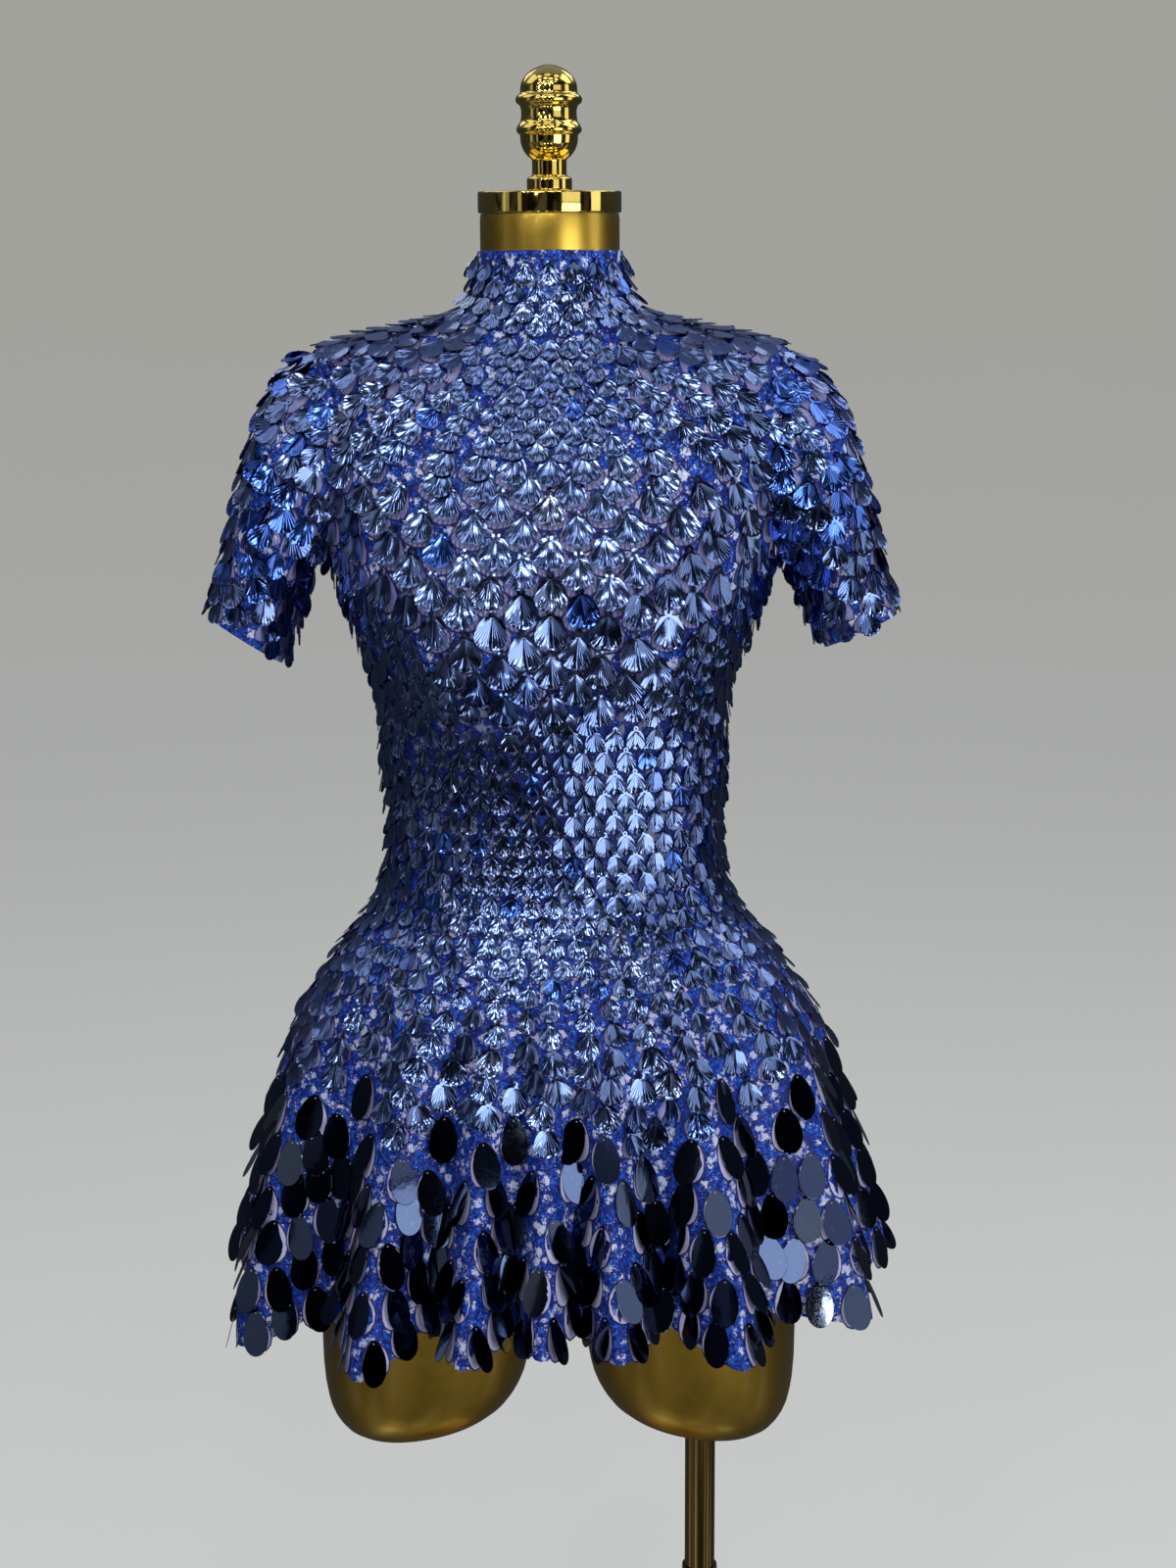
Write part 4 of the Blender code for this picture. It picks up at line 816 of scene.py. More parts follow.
def cloth_pieces():
    made = {}
    arm = (RUN_ARMPIT + RUN_TIP) / 2 - (RUN_TIP - RUN_ARMPIT) / 2 * np.cos(np.linspace(0, np.pi, 25))
    runs = np.concatenate([spread(0.0, RUN_ARMPIT, 0.0075)[:-1], arm, spread(RUN_TIP, RUN_NECK, 0.0075)[1:]])
    front = lambda r: side_turn(r, ARMHOLE_FRONT)
    back = lambda r: math.pi - side_turn(r, ARMHOLE_BACK)
    trim = (SEAM / 2, SEAM / 2)
    made["bodice_front"] = body_panel("cloth_bodice_front", runs, lambda r: -front(r), front, 52, trim)
    made["bodice_back_left"] = body_panel("cloth_bodice_back_left", runs, back, zip_turn, 26, trim)
    made["bodice_back_right"] = body_panel("cloth_bodice_back_right", runs,
                                           lambda r: -zip_turn(r), lambda r: -back(r), 26, trim)
    rows = spread(RUN_NECK, RUN_TOP, 0.005)
    made["collar"] = body_panel("cloth_collar", rows, lambda r: -zip_turn(r), zip_turn, 84, (SEAM / 2, 0.0))
    for name, surf, side in (("sleeve_left", sleeve_left, 1), ("sleeve_right", sleeve_right, -1)):
        ats = np.concatenate([[0.0, 0.02, 0.045, 0.075], np.linspace(0.11, 1.0, 26)])
        phi = np.linspace(0, 2 * np.pi, 61)[:-1]
        b, a = np.meshgrid(ats, phi, indexing="ij")
        p = surf(a, b)
        n = normals(surf, a, np.clip(b, 0.012, 0.99), side)
        made[name] = cloth_shell("cloth_" + name, p, n, closed=True, flip=side > 0)
    for name, lo, hi in (("skirt_front", -90.0, 90.0), ("skirt_back", 90.0, 270.0)):
        edge = SEAM / 2 / 0.16
        t = np.clip(np.radians(np.linspace(lo, hi, 169)), math.radians(lo) + edge, math.radians(hi) - edge)
        part = np.concatenate([[SEAM / 2 / 0.29], np.linspace(0.02, 1.0, 38)])
        b, a = np.meshgrid(part, t, indexing="ij")
        p = skirt(a, b)
        n = normals(skirt, a, np.clip(b, 0.012, 0.99), -1)
        made[name] = cloth_shell("cloth_" + name, p, n, flip=True)
    return made


def outward(obj):
    bm = bmesh.new()
    bm.from_mesh(obj.data)
    bmesh.ops.recalc_face_normals(bm, faces=bm.faces)
    bm.to_mesh(obj.data)
    bm.free()
    return obj


# ------------------------------------------------------------------ templates
def shell_template(pleats, bands, tab, fold_depth):
    """A unit-wide scallop sequin with its hinge at the origin and its fan along
    +y: a shallow dish whose rims stand off the cloth, with fine pleats that run
    out from a holed tab at the hinge, closed below by its rounded back."""
    reach, wide = 44.0, 0.74
    step = reach / (pleats / 2.0)
    fold, high = [0.0], [0.0]
    for k in range(pleats // 2):
        fold += [k * step + step * wide, (k + 1) * step]
        high += [1.0, -1.0]
    high[0] = -1.0
    fold = [-a for a in fold[:0:-1]] + fold
    high = high[:0:-1] + high
    th = np.radians(np.array([-78.0, -57.0] + fold + [57.0, 78.0]))
    ridge = np.array([0.0, 0.0] + high + [0.0, 0.0])
    cols = len(th)
    far = np.interp(np.degrees(np.abs(th)), (0, 10, 20, 30, 38, 42, 47, 57, 64, 78),
                    (1.045, 1.035, 1.005, 0.935, 0.815, 0.725, 0.615, 0.465, 0.375, 0.255))
    far = far * (1.0 + 0.010 * ridge)
    low_y = 0.075
    rho = {3: (0.36, 0.76, 1.0), 4: (0.30, 0.60, 0.86, 1.0), 5: (0.24, 0.48, 0.70, 0.88, 1.0)}[bands]
    half = lambda y: np.interp(y, (0.0, 0.12, 0.25, 0.34, 0.45, 0.60, 0.72, 0.85, 0.95, 1.05, 1.12),
                               (0.20, 0.25, 0.34, 0.39, 0.43, 0.478, 0.497, 0.475, 0.42, 0.30, 0.18))
    floor = lambda y: np.interp(y, (0.0, 0.10, 0.30, 0.50, 0.70, 0.86, 0.98, 1.06, 1.13),
                                (0.050, 0.040, 0.028, 0.026, 0.030, 0.038, 0.051, 0.065, 0.080))
    verts = [(0.0, low_y, 0.046)]
    for r in rho:
        for c in range(cols):
            x, y = r * far[c] * math.sin(th[c]), low_y + r * far[c] * math.cos(th[c])
            side = min(1.0, abs(x) / half(y))
            z = floor(y) + 0.038 * side ** 2 * min(1.0, y / 0.5) + fold_depth * r * ridge[c]
            verts.append((x, y, z))
    rim0 = len(verts)
    for c in range(cols):
        x, y, z = verts[1 + (bands - 1) * cols + c]
        verts.append((x * 0.985, y * 0.992, z - 0.016))
    low = len(verts)
    verts.append((0.0, low_y * 0.6, 0.006))
    apex = len(verts)
    verts.append((0.0, 0.50, 0.002))
    f = []
    at = lambda r, c: 1 + r * cols + c
    for c in range(cols - 1):
        f.append((0, at(0, c + 1), at(0, c)))
        for r in range(bands - 1):
            f.append((at(r, c), at(r, c + 1), at(r + 1, c + 1)))
            f.append((at(r, c), at(r + 1, c + 1), at(r + 1, c)))
        f.append((at(bands - 1, c), at(bands - 1, c + 1), rim0 + c + 1))
        f.append((at(bands - 1, c), rim0 + c + 1, rim0 + c))
        f.append((apex, rim0 + c, rim0 + c + 1))
    for c, flip in ((0, False), (cols - 1, True)):
        chain = [0] + [at(r, c) for r in range(bands)] + [rim0 + c]
        for a, b in zip(chain, chain[1:]):
            f.append((low, b, a) if flip else (low, a, b))
        f.append((apex, rim0 + c, low) if flip else (apex, low, rim0 + c))
    mats = [0] * len(f)
    # the tab: a small holed disc over the hinge; its hole is closed by a near-black cap, painted shade for the depth
    # of the hole
    base = len(verts)
    for r, z in ((0.142, 0.012), (0.134, 0.058), (0.056, 0.063)):
        for k in range(tab):
            a = 2 * math.pi * k / tab
            verts.append((r * math.sin(a), r * math.cos(a) * 1.05 - 0.004, z))
    hole = len(verts)
    verts.append((0.0, -0.004, 0.044))
    for k in range(tab):
        q = (k + 1) % tab
        a, b = base + k, base + q
        for level in range(2):
            o = level * tab
            f.append((a + o, b + o, b + o + tab)); mats.append(0)
            f.append((a + o, b + o + tab, a + o + tab)); mats.append(0)
        f.append((a + 2 * tab, b + 2 * tab, hole)); mats.append(1)
    for k in range(1, tab - 1):
        f.append((base, base + k + 1, base + k)); mats.append(0)
    # a dimple just below the tab, painted near-black: painted shade of the fold there
    dot = len(verts)
    for x, y, z in ((0.0, 0.232, 0.047), (-0.042, 0.190, 0.047), (0.0, 0.150, 0.050),
                    (0.042, 0.190, 0.047), (0.0, 0.190, 0.052), (0.0, 0.190, 0.020)):
        verts.append((x, y, z))
    for k in range(4):
        q = (k + 1) % 4
        f.append((dot + k, dot + q, dot + 4)); mats.append(1)
        f.append((dot + q, dot + k, dot + 5)); mats.append(1)
    return oriented(np.array(verts), np.array(f), np.array(mats))


def oriented(verts, faces, mats, fan=None):
    """Makes a template's faces point outwards, whatever order they were made in."""
    bm = bmesh.new()
    vs = [bm.verts.new(v) for v in verts]
    for f, m in zip(faces, mats):
        face = bm.faces.new([vs[i] for i in f])
        face.material_index = int(m)
    bm.verts.index_update()
    bmesh.ops.recalc_face_normals(bm, faces=bm.faces)
    out = [([v.index for v in face.verts], face.material_index) for face in bm.faces]
    bm.free()
    return dict(v=np.asarray(verts, float), f=np.array([o[0] for o in out]),
                m=np.array([o[1] for o in out]), fan=fan)


def motif_template(kind, segs=12):
    """A printed motif as a thin wafer: pale face, dark edge, closed below."""
    verts, fan, faces, mats = [], [], [], []
    if kind == "shell":
        th = np.radians(np.linspace(-72, 72, segs))
        far = np.interp(np.degrees(np.abs(th)), (0, 20, 30, 38, 47, 61, 72),
                        (1.045, 1.02, 0.96, 0.84, 0.60, 0.32, 0.20))
        outline = [(0.0, -0.10)] + [(f * math.sin(t), 0.075 + f * math.cos(t)) for f, t in zip(far, th)]
        across = [0.5] + list(np.linspace(0, 1, segs))
        mid = (0.0, 0.52)
    else:
        outline = egg_outline(segs, 1.0, 1.0)
        across = [0.5] * segs
        mid = (0.0, 0.80)
    n = len(outline)
    for level, (k, z) in enumerate(((0.915, 0.010), (1.0, 0.007), (1.0, -0.006))):
        for (x, y), u in zip(outline, across):
            verts.append((mid[0] + (x - mid[0]) * k, mid[1] + (y - mid[1]) * k, z))
            fan.append((u, k))
    verts.append((mid[0], mid[1], 0.010))
    fan.append((0.5, 0.0))
    for k in range(n):
        q = (k + 1) % n
        faces.append((3 * n, k, q)); mats.append(0)
        for o in (0, n):
            faces.append((k + o, k + o + n, q + o + n)); mats.append(1)
            faces.append((k + o, q + o + n, q + o)); mats.append(1)
    for k in range(1, n - 1):
        faces.append((2 * n, 2 * n + k, 2 * n + k + 1)); mats.append(1)
    return oriented(np.array(verts), np.array(faces), np.array(mats), np.array(fan))


EGG_LONG = 1.68


def egg_outline(segs, wide=1.0, high=1.0):
    """Egg with its narrow end at the top, unit wide, its hinge near the origin."""
    pts, mid = [], EGG_LONG / 2 - 0.10
    for k in range(segs):
        a = 2 * math.pi * k / segs
        x = 0.5 * math.sin(a) * (1 - 0.17 * math.cos(a)) / 1.0145
        y = EGG_LONG / 2 * (1 - math.cos(a)) - 0.10
        pts.append((x * wide, mid + (y - mid) * high))
    return pts


def drop_template(segs=28):
    """A thin flat egg-shaped sequin, unit wide, with a bead at its hole."""
    verts, faces, mats = [], [], []
    outline = egg_outline(segs)
    mid = (0.0, EGG_LONG / 2 - 0.08)
    for k, z in ((0.50, 0.0235), (0.975, 0.0200), (1.0, 0.0140), (0.995, 0.0)):
        for x, y in outline:
            verts.append((mid[0] + (x - mid[0]) * k, mid[1] + (y - mid[1]) * k, z))
    top = len(verts)
    verts.append((mid[0], mid[1], 0.0245))
    for k in range(segs):
        q = (k + 1) % segs
        faces.append((top, k, q)); mats.append(0)
        for o in (0, segs, 2 * segs):
            faces.append((k + o, k + o + segs, q + o + segs)); mats.append(0)
            faces.append((k + o, q + o + segs, q + o)); mats.append(0)
    for k in range(1, segs - 1):
        faces.append((3 * segs, 3 * segs + k, 3 * segs + k + 1)); mats.append(0)
    # bead of thread through the hole at the narrow end
    base, r = len(verts), 0.032
    for ring, z in ((1.0, 0.015), (0.8, 0.042), (0.35, 0.052)):
        for k in range(7):
            a = 2 * math.pi * k / 7
            verts.append((r * ring * math.sin(a), 0.025 + r * ring * math.cos(a), z))
    tip = len(verts)
    verts.append((0.0, 0.025, 0.053))
    for k in range(7):
        q = (k + 1) % 7
        for o in (0, 7):
            faces.append((base + k + o, base + q + o, base + q + o + 7)); mats.append(1)
            faces.append((base + k + o, base + q + o + 7, base + k + o + 7)); mats.append(1)
        faces.append((base + 14 + k, base + 14 + q, tip)); mats.append(1)
    for k in range(1, 6):
        faces.append((base, base + k + 1, base + k)); mats.append(1)
    return oriented(np.array(verts), np.array(faces), np.array(mats))


SMALL, MIDDLE, LARGE = (shell_template(10, 3, 6, 0.0046), shell_template(10, 4, 7, 0.0046),
                        shell_template(14, 4, 8, 0.0040))
MOTIF, DROP, DROP_MOTIF = motif_template("shell", 11), drop_template(), motif_template("drop", 16)


class Batch:
    """Collects many copies of templates into one mesh."""

    def __init__(self):
        self.v, self.f, self.m, self.t, self.u, self.n = [], [], [], [], [], 0

    def add(self, template, place, frame3, size, tone, shift=0):
        """place (k, 3), frame3 (k, 3, 3) with rows ex, ey, ez, size (k,)."""
        if len(place) == 0:
            return
        tv = template["v"]
        pts = np.einsum("vi,kij->kvj", tv, frame3) * size[:, None, None] + place[:, None, :]
        k, n = pts.shape[:2]
        self.v.append(pts.reshape(-1, 3))
        faces = template["f"][None] + (self.n + np.arange(k) * n)[:, None, None]
        self.f.append(faces.reshape(-1, 3))
        self.m.append(np.tile(template["m"] + shift, k))
        self.t.append(np.repeat(tone, n))
        fan = template["fan"] if template["fan"] is not None else np.zeros((n, 2))
        self.u.append(np.tile(fan, (k, 1)))
        self.n += k * n

    def build(self, name, mats, sharp=None, fan=False):
        return finish_mesh(name, np.concatenate(self.v), np.concatenate(self.f), mats,
                           np.concatenate(self.m), sharp, np.concatenate(self.t),
                           np.concatenate(self.u) if fan else None)


# ------------------------------------------------------------------ placing
# Rows of sequins down the centre front, from the collar to the skirt seam.
#   run     where the row's centres lie,      spacing, width   in mm
#   half    1 = no sequin on the centre line, reach  how far out the row is set
ROW_COLUMNS = ("run", "spacing", "width", "half", "reach")
ROWS = (
    (0.5970, 16.6, 14.6, 0, 400), (0.5840, 17.4, 14.8, 1, 400), (0.5695, 16.8, 15.0, 0, 400),
    (0.5520, 17.6, 15.4, 1, 400), (0.5164, 15.8, 15.0, 0, 42), (0.4878, 15.9, 15.0, 1, 44),
    (0.4607, 16.0, 15.0, 0, 46), (0.4423, 16.1, 15.2, 1, 46), (0.4291, 16.2, 15.4, 0, 46),
    (0.4183, 16.4, 15.6, 1, 48), (0.4075, 17.2, 16.0, 0, 50), (0.3941, 18.4, 17.2, 1, 56),
    (0.3766, 25.7, 23.4, 0, 92), (0.3610, 32.0, 24.7, 1, 100), (0.3456, 37.3, 25.4, 0, 116),
    (0.3270, 37.6, 26.0, 1, 120), (0.3089, 39.5, 26.2, 0, 124), (0.2942, 41.0, 26.4, 1, 126),
    (0.2785, 42.5, 26.6, 0, 124), (0.2668, 42.5, 26.6, 1, 118), (0.2522, 42.0, 26.5, 0, 106),
    (0.2377, 41.0, 26.2, 1, 96), (0.2234, 36.5, 26.0, 0, 84), (0.2102, 35.5, 25.0, 1, 64),
    (0.1924, 34.5, 24.0, 0, 44), (0.1820, 17.0, 17.0, 1, 30), (0.1666, 15.2, 14.8, 0, 100),
    (0.1490, 15.3, 14.9, 1, 100), (0.1314, 15.2, 14.9, 0, 100), (0.1164, 15.3, 14.9, 1, 100),
    (0.1001, 15.3, 14.9, 0, 100), (0.0846, 15.3, 14.9, 1, 100), (0.0704, 15.4, 14.9, 0, 102),
    (0.0563, 15.4, 14.9, 1, 104), (0.0407, 15.5, 15.0, 0, 108), (0.0247, 15.7, 15.0, 1, 112),
    (0.0079, 16.4, 15.0, 0, 116),
)
# Half width of the zone of large sequins on the front, by height.
V_ZONE = ((1.150, 0.000), (1.168, 0.034), (1.198, 0.085), (1.227, 0.106), (1.262, 0.122), (1.283, 0.140))


def v_zone(z):
    return np.interp(z, [r[0] for r in V_ZONE], [r[1] for r in V_ZONE])


def body_field(p, turn, run):
    """Width, spacing and row pitch of the sequins on the body, in mm."""
    x, z = np.abs(p[..., 0]), p[..., 2]
    front = np.cos(turn) >= 0
    w_yoke = 15.2 + 5.3 * ease(x, 0.035, 0.110)
    w_chest = np.where(x < v_zone(z) + 0.004, 26.0, 18.5)
    w_chest = np.where(z > 1.262, 23.0, w_chest)
    w = np.where(z > 1.345, w_yoke, np.where(z > 1.160, w_chest, 15.0))
    w = np.where((z > 1.160) & (z < 1.215) & (x >= v_zone(z) + 0.004), 16.0, w)
    w_back = np.interp(z, (0.98, 1.10, 1.20, 1.30, 1.38, 1.43, 1.46),
                       (15.0, 15.2, 17.0, 19.5, 20.0, 17.5, 15.2))
    w = np.where(front, w, w_back)
    side = ease(x, 0.118, 0.135) * (z < 1.26) * front
    w = w * (1 - side) + np.minimum(w, 16.5) * side
    w = np.where(run > 0.545, 15.0, w)
    s = np.where(w > 22, w * 1.36, w * 1.055 + 0.3)
    pitch = np.where(w > 22, w * 0.60, w * 0.86)
    pitch = np.where((z > 1.345) & (run < 0.545), w * 0.74, pitch)
    return w, s, pitch


def fan_way(p, n, start, end, about=(0.0, 0.0, 1.455)):
    """Way a sequin's fan points: down, but away from the neck on the shoulders."""
    down = np.zeros_like(p)
    down[..., 2] = -1.0
    away = unit(p - np.array(about))
    k = (ease(p[..., 2], start, end) * (1 - ease(p[..., 2], 1.412, 1.436)))[..., None]
    d = down * (1 - k) + away * k
    d = d - n * np.sum(d * n, -1, keepdims=True)
    return unit(d)


class Placer:
    """Sets sequins on a surface: given rows first, then the rest packed in."""

    def __init__(self, surf, sign, start, end):
        self.surf, self.sign, self.start, self.end = surf, sign, start, end
        self.a, self.b, self.p, self.ex, self.ey = [], [], [], [], []
        self.w, self.s, self.h, self.kind = [], [], [], []

    def axes(self, a, b):
        p = self.surf(a, b)
        n = normals(self.surf, a, b, self.sign)
        ey = fan_way(p, n, self.start, self.end)
        return p, n, np.cross(ey, n), ey

    def put(self, a, b, w, s, h, kind):
        a, b = np.atleast_1d(a).astype(float), np.atleast_1d(b).astype(float)
        p, n, ex, ey = self.axes(a, b)
        for i in range(len(a)):
            self.a.append(a[i]); self.b.append(b[i]); self.p.append(p[i])
            self.ex.append(ex[i]); self.ey.append(ey[i])
            self.w.append(float(np.broadcast_to(w, a.shape)[i]))
            self.s.append(float(np.broadcast_to(s, a.shape)[i]))
            self.h.append(float(np.broadcast_to(h, a.shape)[i]))
            self.kind.append(kind)

    def fill(self, a, b, field, kind="shell", near=0.97, others=()):
        """a, b: candidates in the order to be tried; each one set rules out the
        later ones that would crowd it."""
        p, n, ex, ey = self.axes(a, b)
        w, s, h = field(p, a, b)
        keep = w > 0
        a, b, p, ex, ey, w, s, h = (q[keep] for q in (a, b, p, ex, ey, w, s, h))
        free = np.ones(len(a), bool)

        def rule_out(at, spacing, pitch):
            close = np.nonzero(free & (np.abs(p[:, 2] - at[2]) < 0.045)
                               & (np.abs(p[:, 0] - at[0]) < 0.045)
                               & (np.abs(p[:, 1] - at[1]) < 0.045))[0]
            d = at - p[close]
            x, y = (d * ex[close]).sum(1), (d * ey[close]).sum(1)
            u = x / ((spacing + s[close]) * 0.0005)
            v = y * 0.866 / ((pitch + h[close]) * 0.0005)
            off = np.clip((d * d).sum(1) - x * x - y * y, 0, None)
            free[close[u * u + v * v + off / 0.012 ** 2 < near * near]] = False

        for o in (self,) + tuple(others):
            for at, spacing, pitch in zip(o.p, o.s, o.h):
                rule_out(at, spacing, pitch)
        chosen = []
        for i in range(len(a)):
            if free[i]:
                chosen.append(i)
                rule_out(p[i], s[i], h[i])
        c = np.array(chosen, int)
        if len(c):
            self.put(a[c], b[c], w[c], s[c], h[c], kind)
        return len(c)

    def arrays(self):
        return (np.array(self.a), np.array(self.b), np.array(self.w), np.array(self.kind))


def arc_turns(surf, b, lo, hi, count=700):
    """Angles and running lengths of a ring of a surface, both ways from lo..hi."""
    t = np.linspace(lo, hi, count)
    p = surf(t, np.full_like(t, b))
    length = np.concatenate([[0], np.cumsum(np.linalg.norm(np.diff(p, axis=0), axis=1))])
    return t, length


def in_armhole(turn, run, margin):
    """True where a point of the body lies inside an armhole or close to it."""
    mid, half = (RUN_ARMPIT + RUN_TIP) / 2, (RUN_TIP - RUN_ARMPIT) / 2
    t = (turn + np.pi) % (2 * np.pi) - np.pi
    away = np.abs(np.abs(t) - np.pi / 2)
    widest = np.where(np.abs(t) < np.pi / 2, ARMHOLE_FRONT, ARMHOLE_BACK)
    m = margin / 0.15
    return ((away / (widest + m)) ** 2 + ((run - mid) / (half + margin)) ** 2) < 1.0


def lattice(surf, bs, lo, hi, step, centre=0.0):
    """Candidate points row by row, each row from its centre outwards."""
    A, B = [], []
    for b in bs:
        t, length = arc_turns(surf, b, lo, hi, 260)
        c = np.interp(centre, t, length)
        k = np.arange(0, max(c, length[-1] - c) / step)
        s = np.concatenate([[0], *(np.array([i * step, -i * step]) for i in k[1:])]) if len(k) > 1 else np.array([0.0])
        s = s[(c + s >= 0) & (c + s <= length[-1])]
        A.append(np.interp(c + s, length, t))
        B.append(np.full(len(s), b))
    return np.concatenate(A), np.concatenate(B)


def place_body():
    pl = Placer(body, 1, 1.235, 1.365)
    zip_free = 0.0125
    for run, spacing, width, half, reach in ROWS:
        t, length = arc_turns(body, run, -np.pi, np.pi)
        mid = length[-1] / 2
        step = spacing / 1000.0
        reach = reach / 1000.0
        full = reach > 0.3
        if full:
            usable = mid - zip_free - 0.0025
            count = max(1, round(usable / step - (0.5 if half else 0.0)))
            step = usable / (count + (0.5 if half else 0.0))
        k = 0
        while True:
            s = (k + (0.5 if half else 0.0)) * step
            if s > mid - zip_free + 1e-6:
                break
            stop = False
            for sign in ((1, -1) if s > 0 else (1,)):
                turn = float(np.interp(mid + sign * s, length, t))
                x = abs(float(body_plain(turn, run)[0]))
                if not full and (x > reach or abs(turn) > np.pi / 2):
                    stop = True
                    break
                if in_armhole(np.array(turn), np.array(run), 0.004):
                    stop = True
                    break
                h = width * 0.60 if width > 22 else width * 0.98
                if 0.40 < run < 0.545:
                    h = width * 0.76
                pl.put(turn, run, width, spacing * 0.96, h, "shell")
            if stop:
                break
            k += 1
    bs = np.arange(0.545, 0.004, -0.0014)
    a, b = lattice(body, bs, -np.pi, np.pi, 0.0021)
    x = np.abs(body_plain(a, b)[:, 0])
    keep = ~in_armhole(a, b, 0.005)
    keep &= ~((np.cos(a) < 0) & (x < zip_free))
    pl.fill(a[keep], b[keep], body_field)
    return pl


def sleeve_field(p, a, b):
    w = np.full(len(a), 20.3) + 0.6 * np.sin(37 * a + 91 * b)
    w = np.where(b > 0.90, 17.5, w)
    return w, w * 1.07, w * 0.76


def place_sleeve(surf, sign, bodies):
    pl = Placer(surf, sign, 1.300, 1.395)
    bs = np.concatenate([np.linspace(0.02, 0.965, 120)])
    a, b = lattice(surf, bs, -np.pi, np.pi, 0.0022)
    pl.fill(a, b, sleeve_field, others=(bodies,), near=0.95)
    return pl


DROP_ROWS = (0.0275, 0.0615, 0.0950, 0.1270, 0.1590, 0.1900)   # hinges above the hem
DROP_WIDTH = 0.0211
DROP_SPACING = 0.0262


def drop_turns(rng):
    """Angles of the drops, row by row from the hem, each row between the last."""
    rows = []
    for level, above in enumerate(DROP_ROWS):
        turns = np.linspace(-np.pi, np.pi, 2400)
        p = skirt(turns, 1 - above / skirt_full(turns))
        length = np.concatenate([[0], np.cumsum(np.linalg.norm(np.diff(p, axis=0), axis=1))])
        total = length[-1]
        if not rows:
            count = int(total / DROP_SPACING)
            s = (np.arange(count) + 0.35) * total / count
        else:
            last = np.sort(np.interp(rows[-1], turns, length))
            nxt = np.append(last[1:], last[0] + total)
            s, prev = [], None
            for a, b in zip(last, nxt):
                gap = b - a
                if gap > 1.62 * DROP_SPACING:
                    new = [a + gap / 3, a + 2 * gap / 3]
                else:
                    new = [a + gap / 2]
                for v in new:
                    if prev is None or v - prev > 0.80 * DROP_SPACING:
                        s.append(v)
                        prev = v
            s = np.array(s)
        s = (s + rng.normal(0, 0.0011, len(s))) % total
        rows.append(np.interp(s, length, turns))
    return rows


def skirt_field(p, a, b):
    full = skirt_full(a)
    fall, above = full * b, full * (1 - b)
    w = np.interp(fall, (0.0, 0.046, 0.062, 0.2), (15.0, 15.4, 21.0, 20.5))
    loose = ease(fall, 0.0, 0.03)
    s = np.where(w < 17, w * (1.06 + 0.20 * loose), 29.0)
    h = np.where(w < 17, w * (0.95 + 0.10 * loose), 17.5)
    w = np.where(above < 0.138, 0.0, w)
    return w, s, h


def place_skirt(bodies):
    pl = Placer(skirt, -1, 2.0, 3.0)
    rng = np.random.default_rng(11)
    for row, (above, t) in enumerate(zip(DROP_ROWS, drop_turns(rng))):
        if row == 4:
            t = t[(rng.random(len(t)) > 0.22) | (np.abs(np.sin(t)) > 0.7)]
        if row == 5:
            t = t[(np.abs(np.sin(t)) > 0.72) & (rng.random(len(t)) > 0.30)]
        lift = rng.normal(0, 0.0018, len(t))
        b = 1 - (above + lift) / skirt_full(t)
        pl.put(t, b, DROP_WIDTH * 1000, 26.0, 31.0, "drop")
    # shells keep clear of the middle of each drop, not of its hinge
    t, b = np.array(pl.a), np.array(pl.b)
    pl.p = list(skirt(t, b + 0.016 / skirt_full(t)))
    bs = np.linspace(0.02, 0.60, 130)
    a, b = lattice(skirt, bs, -np.pi, np.pi, 0.0023)
    pl.fill(a, b, skirt_field, others=(bodies,), near=0.96)
    return pl


# ------------------------------------------------------------------ seating
def steps(surf, a, b, u, v, ex, ey):
    """Parameters reached by going u along ex and v along ey, to first order."""
    da, db = 2e-3, 1.5e-3
    pa = (surf(a + da, b) - surf(a - da, b)) / (2 * da)
    pb = (surf(a, b + db) - surf(a, b - db)) / (2 * db)
    t = ex[:, None] * u[..., None] + ey[:, None] * v[..., None]
    aa, bb, ab = (pa * pa).sum(-1), (pb * pb).sum(-1), (pa * pb).sum(-1)
    r1, r2 = (t * pa[:, None]).sum(-1), (t * pb[:, None]).sum(-1)
    det = np.maximum(aa * bb - ab * ab, 1e-14)[:, None]
    x = (r1 * bb[:, None] - r2 * ab[:, None]) / det
    y = (aa[:, None] * r2 - ab[:, None] * r1) / det
    return a[:, None] + x, b[:, None] + y


def conform(surf, sign, a, b, ex, ey, local, size, lift):
    """Lays a flat template on the surface: local (n, 3) scaled by size (k,)."""
    u = local[None, :, 0] * size[:, None]
    v = local[None, :, 1] * size[:, None]
    A, B = steps(surf, a, b, u, v, ex, ey)
    p = surf(A, B)
    n = normals(surf, A, B, sign)
    return p + n * (local[None, :, 2] * size[:, None] + lift)[..., None]


